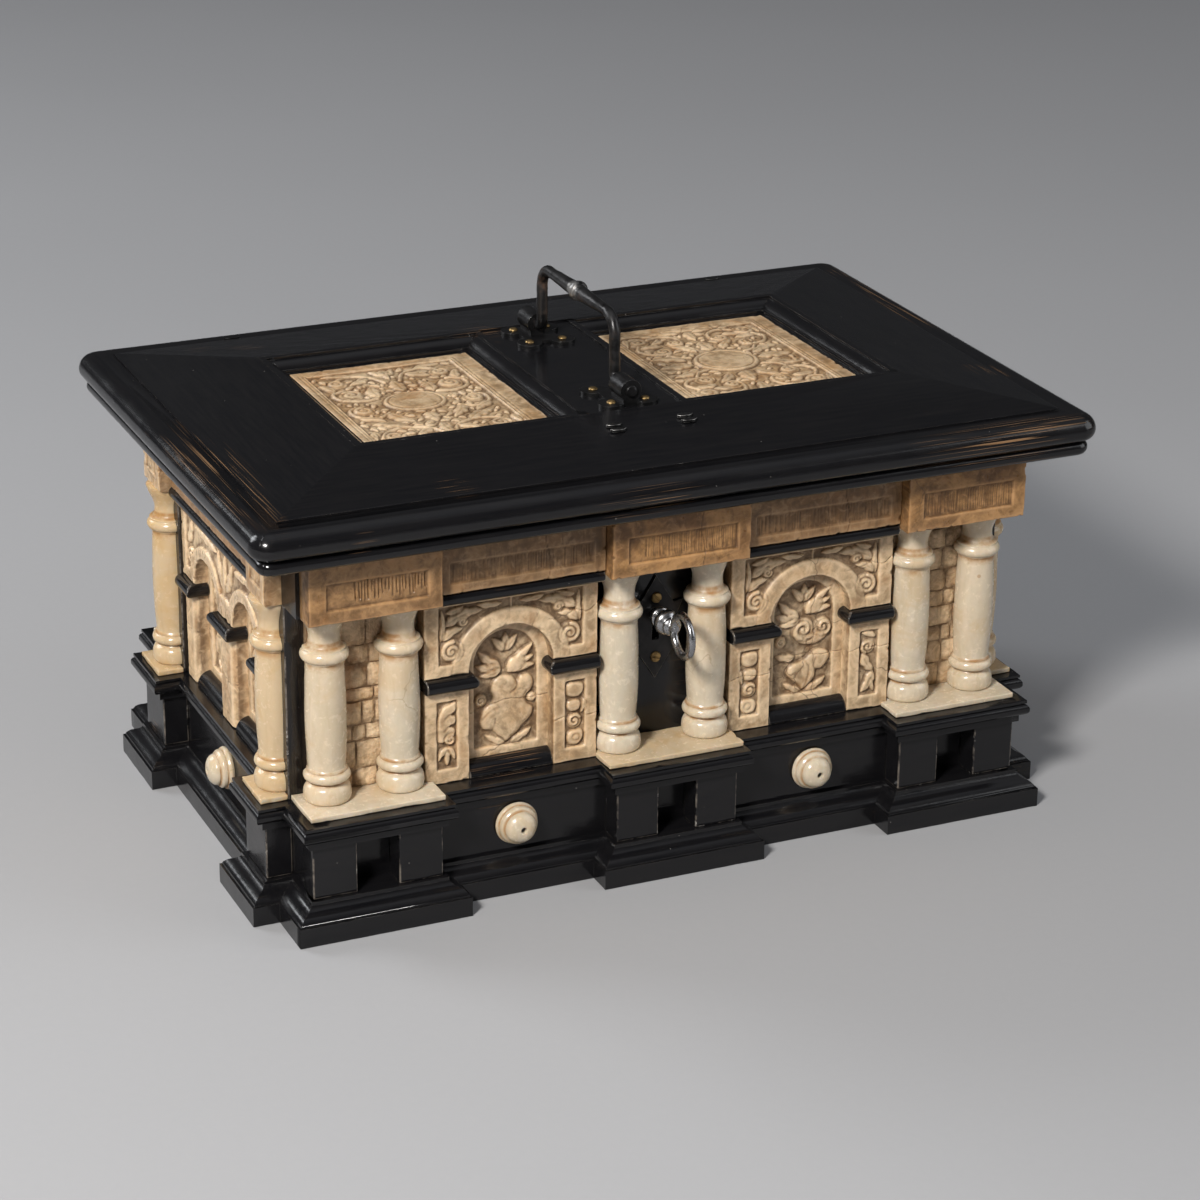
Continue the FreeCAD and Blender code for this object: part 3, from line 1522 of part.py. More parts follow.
def export(nodes):
    """Check every object and write each sub-part to its own file."""
    doc.recompute()
    faults = [item.Label for item in doc.Objects if "Invalid" in item.State or "Error" in item.State]
    for node in nodes:
        if node.Shape.isNull() or not node.Shape.isValid() or not node.Shape.Solids:
            faults.append(node.Label)
    if faults:
        raise RuntimeError("not built: " + ", ".join(faults))
    os.makedirs("parts", exist_ok=True)
    for node in nodes:
        node.Shape.exportStep(os.path.join("parts", node.Label + ".step"))
    print(len(nodes), "sub-parts,", sum(len(node.Shape.Solids) for node in nodes), "solids")


export(build())
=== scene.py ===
"""An ebonised casket with carved alabaster bays, turned columns and iron fittings."""

import functools
import json
import math

import bmesh
import bpy
import numpy as np
from bpy.props import FloatProperty, FloatVectorProperty, IntProperty, PointerProperty
from mathutils import Matrix, Vector, noise

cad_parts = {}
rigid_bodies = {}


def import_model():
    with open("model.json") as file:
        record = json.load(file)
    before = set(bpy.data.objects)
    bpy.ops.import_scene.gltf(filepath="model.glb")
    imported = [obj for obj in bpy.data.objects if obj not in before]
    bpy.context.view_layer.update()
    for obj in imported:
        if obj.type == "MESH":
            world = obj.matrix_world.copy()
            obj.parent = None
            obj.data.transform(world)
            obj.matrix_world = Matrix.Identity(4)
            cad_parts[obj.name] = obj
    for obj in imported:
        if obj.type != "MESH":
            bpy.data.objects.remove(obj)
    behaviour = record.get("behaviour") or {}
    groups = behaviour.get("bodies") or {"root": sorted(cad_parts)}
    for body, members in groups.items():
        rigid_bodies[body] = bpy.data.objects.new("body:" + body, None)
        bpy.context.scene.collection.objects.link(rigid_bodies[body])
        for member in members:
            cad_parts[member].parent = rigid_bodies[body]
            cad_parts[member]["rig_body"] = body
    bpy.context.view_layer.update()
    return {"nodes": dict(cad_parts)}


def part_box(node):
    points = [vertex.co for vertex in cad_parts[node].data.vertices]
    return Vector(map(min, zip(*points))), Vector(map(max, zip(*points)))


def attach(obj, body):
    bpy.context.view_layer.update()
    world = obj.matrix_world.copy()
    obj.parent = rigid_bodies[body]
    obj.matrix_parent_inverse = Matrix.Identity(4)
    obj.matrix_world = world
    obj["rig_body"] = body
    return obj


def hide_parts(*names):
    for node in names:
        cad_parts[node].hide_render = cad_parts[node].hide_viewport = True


bl_info = {
    "name": "Ebonised Casket",
    "version": (1, 0, 0),
    "blender": (4, 5, 0),
    "location": "3D View > Sidebar > Casket",
    "description": "Builds the carved, turned and worn pieces of a casket round its packed model",
    "category": "Add Mesh",
}

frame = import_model()

FRONT, RIGHT, BACK, LEFT = range(4)
WAYS = (((1, 0), (0, -1)), ((0, 1), (1, 0)), ((-1, 0), (0, 1)), ((0, -1), (-1, 0)))  # along and out of each
WOOD = [
    "front_board", "back_board", "bottom_board", "base_moulding", "plinth_cornice", "dado_boards",
    "pedestal_blocks", "entablature_boards", "strip_mouldings", "imposts", "niche_sills", "left_board",
    "right_board", "corner_posts", "lid_board", "lid_edge_mouldings", "lid_slope_boards", "left_panel_frame",
    "right_panel_frame", "lid_centre_band",
]
IRON = [
    "handle_plates", "hinge_staples", "hinge_cotters", "lid_hasps", "lock_plate", "lock_case",
    "lock_cover", "lock_bolt", "boss_pins",
]
ARCH_RADIUS = 18.1  # millimetres, as are the next seven
ARCH_BAND = 25.4  # outer radius of the band round an arch
ARCADE_RADIUS = 16.0
ARCADE_MIDDLE = 25.5  # from the middle of an end to the middle of an arch
NICHE_HALF = 13.8
END_NICHE_HALF = 12.6
NICHE_FOOT = 57.2
NICHE_SHOWN = (53.0, 113.0)  # heights between which a niche is seen
LID_RELIEF = 0.92  # share of the sunk ground's depth that the lid's carving stands up
MITRE = 0.0615  # metres by which x passes y on the boards of the two ends
RUBBED_PLACES = (
    ((-0.171, -0.050, 0.172), (0.013, 0.075, 0.015)), ((0.138, -0.117, 0.170), (0.052, 0.009, 0.012)),
    ((-0.020, -0.119, 0.168), (0.030, 0.007, 0.007)), ((0.176, 0.050, 0.172), (0.010, 0.050, 0.015)),
    ((0.050, 0.118, 0.170), (0.060, 0.008, 0.010)), ((0.130, -0.090, 0.005), (0.050, 0.020, 0.010)),
)


# Settings that a user would change

def setting(maker, **fixed):
    """A kind of setting, which is given a name, a description and a default."""
    return lambda name, description, default: maker(
        name=name, description=description, default=default, **fixed)


length = setting(FloatProperty, min=0.0, precision=5, subtype="DISTANCE", unit="LENGTH")
colour = setting(FloatVectorProperty, min=0.0, max=1.0, size=3, subtype="COLOR")
power = setting(FloatProperty, min=0.0, subtype="POWER", unit="POWER")
strength = setting(FloatProperty, min=0.0, subtype="FACTOR")
turn = setting(FloatProperty, subtype="ANGLE", unit="ROTATION")
focal_length = setting(FloatProperty, min=1.0, subtype="DISTANCE_CAMERA")
faces_round = setting(IntProperty, min=12)
start_number = setting(IntProperty, min=0)


class CasketColours(bpy.types.PropertyGroup):
    """Colours of the finishes."""

    black: colour("Ebonised black", "Stained wood where it is whole", (0.0050, 0.0050, 0.0060))
    grain: colour("Black grain", "Grain of the stained wood", (0.0100, 0.0093, 0.0097))
    brown: colour("Worn stain", "Grain of the corner posts", (0.034, 0.025, 0.017))
    bare: colour("Bare wood", "Wood where the black has been scratched off", (0.27, 0.15, 0.07))
    rubbed: colour("Rubbed edge", "Wood where an edge has rubbed pale", (0.17, 0.145, 0.12))
    dust: colour("Dust", "Pale dust and filler in chips", (0.33, 0.31, 0.285))
    cream: colour("Cream alabaster", "Columns, slabs and bosses", (0.68, 0.59, 0.46))
    cream_cloud: colour("Cream cloud", "Greyer clouds in the columns", (0.60, 0.52, 0.395))
    beige: colour("Beige alabaster", "Columns and slabs of the ends", (0.56, 0.385, 0.195))
    honey: colour("Honey alabaster", "Blocks over the columns", (0.215, 0.10, 0.033))
    honey_cloud: colour("Honey cloud", "Paler clouds in the blocks", (0.43, 0.225, 0.08))
    frieze: colour("Brown alabaster", "Frieze plates", (0.24, 0.13, 0.055))
    frieze_cloud: colour("Brown cloud", "Paler clouds in the frieze plates", (0.41, 0.25, 0.12))
    tan: colour("Tan alabaster", "Carved plates", (0.53, 0.33, 0.165))
    tan_cloud: colour("Tan cloud", "Paler clouds in the carved plates", (0.74, 0.55, 0.345))
    veined: colour("Veined alabaster", "Pale ground of the end arches", (0.76, 0.59, 0.40))
    stain: colour("Stain", "Orange brown stains in the carving", (0.36, 0.165, 0.05))
    # This colour also paints shade into the hollows of the carving, along with the dirt.
    grime: colour("Grime", "Brown dirt in the carving", (0.10, 0.05, 0.021))
    glue: colour("Old glue", "Yellow brown glue at the joints", (0.36, 0.17, 0.042))
    iron: colour("Blackened iron", "Handle, lock plate and fittings", (0.018, 0.0175, 0.018))
    filed: colour("Filed iron", "Iron where an edge is bright", (0.33, 0.32, 0.31))
    rust: colour("Rust", "Rust on the handle", (0.075, 0.034, 0.016))
    brass: colour("Worn brass", "Nails and screws", (0.40, 0.27, 0.115))
    steel: colour("Bright steel", "Key", (0.38, 0.38, 0.39))


class CasketCarving(bpy.types.PropertyGroup):
    """Sizes of the carving."""

    step: length("Grid step", "Spacing of the points of a carved face", 0.00037)
    lid_step: length("Lid grid step", "Spacing of the points of a lid panel", 0.00034)
    ground: length("Ground depth", "How far the ground is cut back round the foliage", 0.0017)
    shallow: length("Shallow ground", "How far the ground of the lid panels is cut back", 0.0009)
    outline: length("Outline width", "Width of the line cut round a leaf", 0.00042)
    worn_edge: length("Worn edge", "Rounding of the edges of a plate", 0.0007)
    unevenness: length("Unevenness", "Height of the tool marks", 0.00009)
    hatch_gap: length("Hatching gap", "Spacing of the strokes on the blocks", 0.00135)
    seed: start_number("Seed", "Start of the random numbers", 7)


class CasketTurning(bpy.types.PropertyGroup):
    """Sizes of the turned columns and bosses."""

    segments: faces_round("Segments", "Faces round a column", 64)
    boss_segments: faces_round("Boss segments", "Faces round a boss", 56)
    column_wave: length("Column unevenness", "Unevenness of a column", 0.00042)
    boss_wave: length("Boss unevenness", "Unevenness of a boss", 0.0003)
    wave_length: length("Wave length", "Length of the waves in the turning", 0.011)


class CasketMasonry(bpy.types.PropertyGroup):
    """Sizes of the walls behind the columns."""

    course: length("Course height", "Height of a course of stones", 0.0088)
    stone: length("Stone length", "Length of a stone", 0.0098)
    joint: length("Joint", "Gap between stones", 0.00075)
    bed: length("Bed", "How far the bed lies behind the stones' faces", 0.0014)
    unevenness: length("Unevenness", "Roughness of a stone's face", 0.0011)
    seed: start_number("Seed", "Start of the random numbers", 3)


class CasketWear(bpy.types.PropertyGroup):
    """Wear of the woodwork, slabs and ironwork."""

    wood_edge: length("Wood edge", "Width of a worn wooden edge", 0.00058)
    lid_corner: length("Lid corner", "Rounding of the lid's corners", 0.009)
    slab_edge: length("Slab edge", "Width of a worn slab edge", 0.0005)
    iron_edge: length("Iron edge", "Width of a filed iron edge", 0.00032)
    key_edge: length("Key edge", "Width of a polished edge of the key", 0.00012)
    span: length("Span", "Distance between dents along an edge", 0.0045)
    dent: length("Dent", "Depth of the dents along an edge", 0.00016)
    hammer: length("Hammer marks", "Depth of hammer marks on the handle", 0.00022)


class CasketStage(bpy.types.PropertyGroup):
    """Camera, light and floor."""

    azimuth: turn("Azimuth", "Camera's turn to the left of the front", math.radians(-24.18))
    elevation: turn("Elevation", "Camera's height above the horizon", math.radians(22.40))
    roll: turn("Roll", "Camera's roll", math.radians(0.62))
    distance: length("Distance", "Camera's distance from its target", 1.4469)
    across: length("Across", "Target's move to the right", 0.01055)
    down: length("Down", "Target's move down", 0.00182)
    target: length("Target height", "Height that the camera looks at", 0.080)
    lens: focal_length("Lens", "Focal length in millimetres on a 36 mm sensor", 101.404)
    key: power("Key lamp", "Power of the lamp at the left", 43.0)
    fill: power("Fill lamp", "Power of the lamp at the right", 13.0)
    rear: power("Rear lamp", "Power of the lamp behind", 20.0)
    sky: strength("Room light", "Strength of the light all round", 0.045)
    ceiling: strength("Ceiling", "Strength of the light right overhead", 0.5)
    floor: colour("Floor", "Pale paper floor", (0.40, 0.40, 0.41))
    floor_half: length("Floor half", "Half of the floor's width", 22.0)


# Nodes

class Bench:
    """The node tree that is being wired."""

    tree = None


def fill(node, inputs):
    """Fills a node's inputs with values or links."""
    for key, value in inputs.items():
        if isinstance(value, bpy.types.NodeSocket):
            Bench.tree.links.new(value, node.inputs[key])
        else:
            node.inputs[key].default_value = value


def new_node(kind, inputs=None, **settings):
    """Adds a node to the tree on the bench, sets it and fills its inputs."""
    made = Bench.tree.nodes.new(kind)
    for key, value in settings.items():
        setattr(made, key, value)
    fill(made, inputs or {})
    return made


def wire(kind, inputs=None, out=0, **settings):
    """Adds a node and returns one of its outputs."""
    return new_node(kind, inputs, **settings).outputs[out]


def maths(operation, first, second=0.0):
    """One sum on two values."""
    return wire("ShaderNodeMath", {0: first, 1: second}, operation=operation)


times, plus, minus, divided, most, least, above = (
    functools.partial(maths, operation)
    for operation in ("MULTIPLY", "ADD", "SUBTRACT", "DIVIDE", "MAXIMUM", "MINIMUM", "GREATER_THAN")
)


def on_vectors(operation, first, second, key=1):
    """One sum on two vectors, or on a vector and its scale."""
    return wire("ShaderNodeVectorMath", {0: first, key: second}, operation=operation)


def vector(x, y, z):
    """A vector of three values."""
    return wire("ShaderNodeCombineXYZ", {0: x, 1: y, 2: z})


def ranged(value, low, high, start=0.0, end=1.0):
    """A value moved from one range to another, and held inside it."""
    return wire("ShaderNodeMapRange", {0: value, 1: low, 2: high, 3: start, 4: end}, clamp=True)


def rgba(value):
    """A colour with its alpha."""
    return value if isinstance(value, bpy.types.NodeSocket) else (*value, 1.0)


def shaded(shade, share, lift=0.0):
    """A colour made darker or lighter."""
    return [min(1.0, part * share + lift) for part in shade]


def mixed(factor, first, second):
    """Two colours mixed."""
    return wire("ShaderNodeMix", {0: factor, 6: rgba(first), 7: rgba(second)}, 2, data_type="RGBA")


def layered(body, *layers):
    """A colour under layers, each a value, the range that brings it in, a strength and a colour."""
    for value, low, high, full, shade in layers:
        body = mixed(ranged(value, low, high, 0.0, full), body, shade)
    return body


def clouds(place, scale, detail=3.0, roughness=0.55, distortion=0.0):
    """Noise between 0 and 1."""
    return wire("ShaderNodeTexNoise", {
        "Vector": place, "Scale": scale, "Detail": detail, "Roughness": roughness, "Distortion": distortion})


def stretched(place, scale):
    """Coordinates stretched by a factor on each axis."""
    return wire("ShaderNodeMapping", {"Vector": place, "Scale": scale})


def attribute(name):
    """A number kept on the mesh."""
    return wire("ShaderNodeAttribute", attribute_name=name, out=2)


def bumped(height, strength, distance, under=None):
    """A bump from a height, over another one."""
    inputs = {"Strength": strength, "Distance": distance, "Height": height}
    return wire("ShaderNodeBump", inputs if under is None else {**inputs, "Normal": under})


def specks(place, scale, size, share):
    """Small round specks, in that share of the cells."""
    cells = new_node("ShaderNodeTexVoronoi", {"Vector": place, "Scale": scale})
    red = wire("ShaderNodeSeparateColor", {0: cells.outputs[1]})
    near = ranged(cells.outputs[0], size * 0.6, size, 1.0, 0.0)
    return times(near, ranged(red, share, share + 0.01, 1.0, 0.0))


def cracks(place, scale, width, share):
    """Hairline cracks that come and go."""
    wander = wire("ShaderNodeTexNoise", {"Vector": place, "Scale": scale * 2.4, "Detail": 4.0}, 1)
    moved = on_vectors("ADD", place, on_vectors("SCALE", wander, 0.45 / scale, "Scale"))
    edge = wire("ShaderNodeTexVoronoi", {"Vector": moved, "Scale": scale}, feature="DISTANCE_TO_EDGE")
    where = ranged(clouds(place, scale * 0.8, 2.0), 1.0 - share, 1.06 - share)
    return times(ranged(edge, 0.0, width, 1.0, 0.0), where)


def new_finish(name):
    """A fresh material, the object's own coordinates and the colours to use."""
    made = bpy.data.materials.new(name)
    made.use_nodes = True
    Bench.tree = made.node_tree
    return made, wire("ShaderNodeTexCoord", out="Object"), bpy.context.scene.casket_colours


def dress(made, **inputs):
    """Fills the inputs of a material's shader, and returns the material."""
    fill(made.node_tree.nodes["Principled BSDF"], {
        key.replace("_", " "): value for key, value in inputs.items()})
    return made


def ebonised_wood(name, upright):
    """Black stained wood: fine grain, rubbed edges, brown scratches and specks of dust."""
    made, place, shades = new_finish(name)

    def along_grain(length_scale, fine_scale):
        if upright:
            return stretched(place, (fine_scale, fine_scale, length_scale))
        x, y, _ = new_node("ShaderNodeSeparateXYZ", {0: place}).outputs
        return wire("ShaderNodeMix", {
            0: above(minus(maths("ABSOLUTE", x), maths("ABSOLUTE", y)), MITRE),
            4: stretched(place, (length_scale, fine_scale, fine_scale)),
            5: stretched(place, (fine_scale, length_scale, fine_scale)),
        }, 1, data_type="VECTOR")

    fibres = clouds(along_grain(38.0, 620.0), 1.0, 6.0, 0.65)
    rubbed = ranged(clouds(place, 19.0, 2.0), 0.66, 0.74, 0.0, 0.7)
    for centre, size in RUBBED_PLACES:
        share = on_vectors("DIVIDE", on_vectors("SUBTRACT", place, centre), size)
        reach = wire("ShaderNodeVectorMath", {0: share}, "Value", operation="LENGTH")
        rubbed = most(rubbed, ranged(reach, 0.35, 1.0, 1.0, 0.0))
    lines = clouds(along_grain(17.0, 2100.0), 1.0, 2.0, 0.5)
    scratch = times(ranged(lines, 0.60, 0.67), rubbed)
    edge = attribute("worn")
    worn = times(edge, ranged(clouds(place, 170.0, 5.0, 0.7), 0.42, 0.60))
    chips = times(edge, ranged(clouds(place, 130.0, 5.0, 0.75), 0.595, 0.65))
    crease = times(times(edge, -0.42), ranged(clouds(place, 75.0, 4.0, 0.7), 0.44, 0.58))
    dust = most(chips, times(specks(place, 170.0, 0.05, 0.14), 0.5))
    body = mixed(ranged(fibres, 0.35, 0.8), shades.black, shades.brown if upright else shades.grain)
    body = mixed(scratch, body, shades.bare)
    body = mixed(times(worn, 0.8), body, shades.rubbed)
    body = mixed(most(dust, crease), body, shades.dust)
    rough = ranged(clouds(place, 46.0, 4.0), 0.3, 0.75, 0.12, 0.25)
    wave = bumped(clouds(place, 70.0, 3.0), 0.12, 0.0012)
    return dress(
        made, Base_Color=body, Roughness=plus(rough, times(most(scratch, chips), 0.3)),
        Normal=bumped(fibres, 0.10, 0.0003, wave), Specular_IOR_Level=0.42)


def carved_alabaster(name, deep, pale, toned, stained, gloss, streak, coarse=0.16):
    """Carved alabaster: clouds, stains, hairline cracks, dirt in the hollows and rubbed high places."""
    made, place, shades = new_finish(name)
    lot, hollow = attribute("lot"), attribute("hollow")
    here = on_vectors("ADD", place, vector(lot, lot, lot))
    dark, light = shaded(deep, 0.46), shaded(pale, 1.15, 0.05)
    mottle, fine = clouds(here, 230.0, 4.0, 0.62, 0.7), clouds(here, 520.0, 3.0)
    # Brown dirt and painted shade: the deeper a point lies in a hollow, the more it is darkened.
    dirt_and_shade = times(ranged(hollow, 0.55, 0.88), ranged(mottle, 0.36, 0.58, 0.55, 1.0))
    crack = cracks(here, 21.0, 0.008, 0.46)
    body = layered(
        mixed(ranged(clouds(here, 30.0, 4.0, 0.55, 0.8), 0.40, 0.60), deep, pale),
        (attribute("tone"), 0.0, 1.0, 0.55, toned),
        (clouds(here, 78.0, 5.0, 0.62, 1.3), 0.48, 0.64, 0.62, dark),
        (clouds(stretched(here, streak), 1.0, 5.0, 0.62, 1.4), 0.50, 0.66, 0.66, dark),
        (mottle, 0.50, 0.64, 0.40, dark),
        (mottle, 0.48, 0.36, 0.34, light),
        (clouds(here, 46.0, 4.0, 0.62, 1.1), 0.54, 0.66, stained, shades.stain),
        (hollow, 0.47, 0.2, 0.42, light))
    # The grime colour darkens the hollows, as dirt and painted shade, and the cracks.
    body = mixed(times(dirt_and_shade, 0.74), body, shades.grime)
    body = mixed(times(crack, 0.66), body, shades.grime)
    rough = ranged(fine, 0.3, 0.7, gloss, gloss + 0.18)
    grain = bumped(plus(fine, mottle), coarse, 0.0003 + coarse * 0.0012)
    return dress(
        made, Base_Color=body, Roughness=plus(rough, times(dirt_and_shade, 0.2)),
        Normal=bumped(crack, 0.35, -0.0006, grain), Specular_IOR_Level=0.45, Subsurface_Weight=0.10,
        Subsurface_Radius=(1.0, 0.55, 0.28), Subsurface_Scale=0.0010)


def polished_alabaster(name):
    """Polished cream alabaster: milky clouds, old glue in the necks and small brown spots."""
    made, place, shades = new_finish(name)
    cloud = clouds(stretched(place, (1.0, 1.0, 0.45)), 70.0, 5.0, 0.62, 0.9)
    streaks = clouds(stretched(place, (300.0, 300.0, 46.0)), 1.0, 4.0, 0.6, 0.6)
    sugar = clouds(place, 360.0, 4.0, 0.62, 0.4)
    warm = ranged(clouds(place, 34.0, 4.0, 0.6, 0.8), 0.50, 0.66, 0.0, 0.42)
    patch = ranged(clouds(place, 95.0, 4.0, 0.65), 0.40, 0.58, 0.15, 1.0)
    glue = times(ranged(attribute("hollow"), 0.56, 0.88), patch)
    spots = specks(place, 120.0, 0.12, 0.12)
    crack = cracks(place, 22.0, 0.006, 0.36)
    body = layered(
        mixed(ranged(cloud, 0.42, 0.60), shades.cream_cloud, shades.cream),
        (sugar, 0.52, 0.66, 0.26, shaded(shades.cream, 1.2)),
        (sugar, 0.48, 0.36, 0.10, shaded(shades.cream_cloud, 0.72)))
    body = mixed(plus(warm, times(attribute("tone"), 0.7)), body, shades.beige)
    body = layered(body, (streaks, 0.52, 0.68, 0.17, shaded(shades.beige, 0.68)))
    body = mixed(times(glue, 0.86), body, shades.glue)
    body = mixed(times(spots, 0.5), body, shades.glue)
    body = mixed(times(crack, 0.45), body, shaded(shades.beige, 0.5))
    rough = ranged(sugar, 0.3, 0.7, 0.15, 0.31)
    wave = bumped(clouds(place, 150.0, 3.0), 0.16, 0.0006)
    return dress(
        made, Base_Color=body, Roughness=plus(rough, times(glue, 0.25)),
        Normal=bumped(sugar, 0.10, 0.0003, wave), Specular_IOR_Level=0.5, Subsurface_Weight=0.25,
        Subsurface_Radius=(1.0, 0.62, 0.34), Subsurface_Scale=0.0022, Coat_Weight=0.06, Coat_Roughness=0.14)


def blackened_iron(name, rusty):
    """Black hammered iron with bright worn edges and a share of rust."""
    made, place, shades = new_finish(name)
    scale, blotch = clouds(place, 190.0, 5.0, 0.65), clouds(place, 75.0, 4.0, 0.6)
    speckle = ranged(clouds(place, 520.0, 4.0), 0.34, 0.6)
    rust = times(ranged(blotch, 0.66 - rusty, 0.78 - rusty), speckle)
    bright = times(attribute("worn"), ranged(scale, 0.36, 0.54))
    pits = specks(place, 420.0, 0.22, 0.25)
    body = mixed(ranged(scale, 0.35, 0.7), shades.iron, shaded(shades.iron, 2.0))
    body = mixed(rust, body, shades.rust)
    body = mixed(times(bright, 0.85), body, shades.filed)
    dents = bumped(blotch, 0.22, 0.0009)
    return dress(
        made, Base_Color=body, Metallic=ranged(rust, 0.0, 1.0, 0.75, 0.1),
        Roughness=plus(ranged(scale, 0.3, 0.7, 0.26, 0.46), times(rust, 0.35)),
        Normal=bumped(plus(scale, times(pits, -0.5)), 0.18, 0.0003, dents), Specular_IOR_Level=0.5)


def bright_metal(name, shade, tarnish, share, smooth):
    """Rubbed metal with fine scratches and tarnish in patches."""
    made, place, _ = new_finish(name)
    film = ranged(clouds(place, 260.0, 5.0, 0.65), 0.88 - share, 1.1 - share)
    lines = clouds(stretched(place, (90.0, 2600.0, 1500.0)), 1.0, 3.0)
    rough = ranged(lines, 0.3, 0.8, smooth, smooth + 0.16)
    body = layered(mixed(film, shade, tarnish), (lines, 0.5, 0.8, 0.35, shaded(shade, 0.55)))
    return dress(
        made, Base_Color=body, Metallic=ranged(film, 0.0, 1.0, 1.0, 0.7),
        Roughness=plus(rough, times(film, 0.25)), Normal=bumped(lines, 0.05, 0.0002))


def finishes():
    """Every finish by name, made once."""
    shades = bpy.context.scene.casket_colours
    upright, level, crossed = (150.0, 150.0, 22.0), (34.0, 34.0, 58.0), (60.0, 60.0, 34.0)
    tan, cloud = shades.tan, shades.tan_cloud
    carved = {
        "honey_alabaster": (shades.honey, shades.honey_cloud, shades.frieze_cloud, 0.35, 0.26, level),
        "frieze_alabaster": (shades.frieze, shades.frieze_cloud, shades.honey, 0.25, 0.32, upright),
        "tan_alabaster": (tan, cloud, cloud, 0.45, 0.28, crossed),
        "lid_alabaster": (shaded(tan, 0.8), shaded(cloud, 0.8), tan, 0.45, 0.28, crossed),
        "rough_alabaster": (tan, cloud, shades.veined, 0.6, 0.38, upright, 0.7),
        "veined_alabaster": (tan, cloud, shades.veined, 0.75, 0.22, upright),
    }
    makers = {
        "ebonised_wood": (ebonised_wood, False),
        "ebonised_post": (ebonised_wood, True),
        "cream_alabaster": (polished_alabaster,),
        "blackened_iron": (blackened_iron, 0.0),
        "rusted_iron": (blackened_iron, 0.06),
        "worn_brass": (bright_metal, shades.brass, (0.10, 0.06, 0.025), 0.46, 0.32),
        "bright_steel": (bright_metal, shades.steel, (0.16, 0.10, 0.06), 0.22, 0.20),
        **{name: (carved_alabaster, *values) for name, values in carved.items()},
    }
    for name, (maker, *values) in makers.items():
        if "aged_" + name not in bpy.data.materials:
            maker("aged_" + name, *values)
    return {name: bpy.data.materials["aged_" + name] for name in makers}


# Pieces and the sides of the casket

def merged(node):
    """A CAD node's mesh with its loose triangles merged."""
    made = bmesh.new()
    made.from_mesh(frame["nodes"][node].data)
    bmesh.ops.remove_doubles(made, verts=made.verts, dist=1e-5)
    return made


def freed(made, name):
    """What was made as a plain mesh."""
    mesh = bpy.data.meshes.new(name)
    made.to_mesh(mesh)
    made.free()
    return mesh


def in_scene(name, data):
    """A new object in the scene."""
    made = bpy.data.objects.new(name, data)
    bpy.context.scene.collection.objects.link(made)
    return made


def solid_boxes(node):
    """Low and high corner of each solid of a node, in millimetres, from the lowest x."""
    made = merged(node)
    left, boxes = set(made.verts), []
    while left:
        group, edge = [], [left.pop()]
        while edge:
            vertex = edge.pop()
            group.append(tuple(vertex.co))
            beside = {line.other_vert(vertex) for line in vertex.link_edges} & left
            left -= beside
            edge += beside
        spread = np.array(group) * 1000.0
        boxes.append((spread.min(0), spread.max(0)))
    made.free()
    return sorted(boxes, key=lambda box: tuple(np.round(box[0], 2)))


def side_of(box):
    """The side of the casket that a plate, column or boss stands on."""
    low, high = box
    middle, size = (low + high) / 2, high - low
    if size[1] > size[0] + 1e-3:
        return RIGHT if middle[0] > 0 else LEFT
    return FRONT if middle[1] < 0 else BACK


def seen_from(side, box):
    """A box as seen from its side: (low u, high u), (back, face), (low v, high v)."""
    corners = np.array(box)
    along, out = (np.sort(corners[:, :2] @ way) for way in np.array(WAYS[side]))
    return along, out, corners[:, 2]


def placed(side, u, w, v):
    """Points along, out from and up a side, as rows of x, y and z in metres."""
    along, out = np.array(WAYS[side])
    flat = np.outer(u, along) + np.outer(w, out)
    return np.column_stack([flat, np.broadcast_to(v, len(flat))]) / 1000.0


def outward(mesh):
    """Turns every closed shell of a mesh the right way out."""
    made = bmesh.new()
    made.from_mesh(mesh)
    bmesh.ops.recalc_face_normals(made, faces=made.faces)
    made.to_mesh(mesh)
    made.free()


def keep(mesh, name, values):
    """Keeps one number for each point of a mesh."""
    stored = mesh.attributes.get(name) or mesh.attributes.new(name, "FLOAT", "POINT")
    stored.data.foreach_set("value", np.asarray(values, np.float32))


def new_mesh(name, points, faces=()):
    """A mesh from points in metres and faces."""
    made = bpy.data.meshes.new(name)
    made.from_pydata([tuple(p) for p in points], [], faces)
    made.update()
    return made


def joined(name, meshes):
    """Several meshes as one, with every shell the right way out."""
    gathered = bmesh.new()
    for mesh in meshes:
        gathered.from_mesh(mesh)
        bpy.data.meshes.remove(mesh)
    whole = freed(gathered, name)
    outward(whole)
    return whole


def evaluated(worker, modifier):
    """The plain mesh that a modifier makes; the modifier is then removed."""
    graph = bpy.context.evaluated_depsgraph_get()
    made = bpy.data.meshes.new_from_object(
        worker.evaluated_get(graph), preserve_all_data_layers=True, depsgraph=graph)
    worker.modifiers.remove(modifier)
    return made


def points_of(mesh):
    """The points of a mesh as rows, in millimetres."""
    flat = np.empty(len(mesh.vertices) * 3, np.float32)
    mesh.vertices.foreach_get("co", flat)
    return flat.reshape(-1, 3) * 1000.0


def add_piece(name, mesh, finish, nodes, crease=38.0):
    """Puts a finished mesh in the scene in place of its CAD nodes, on their body."""
    piece = in_scene(name, mesh)
    mesh.materials.clear()
    mesh.materials.append(finishes()[finish])
    mesh.polygons.foreach_set("material_index", np.zeros(len(mesh.polygons), np.int32))
    mesh.polygons.foreach_set("use_smooth", np.ones(len(mesh.polygons), bool))
    mesh.set_sharp_from_angle(angle=math.radians(crease))
    mesh.update()
    bodies = {frame["nodes"][node]["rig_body"] for node in nodes}
    if len(bodies) != 1:
        raise RuntimeError(f"{name} would ride on {sorted(bodies)}")
    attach(piece, bodies.pop())
    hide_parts(*nodes)
    return piece


# Carving: a face as a grid of points, each cut back by some depth, in millimetres

def carving(name):
    """A size of the carving, in millimetres."""
    return getattr(bpy.context.scene.casket_carving, name) * 1000.0


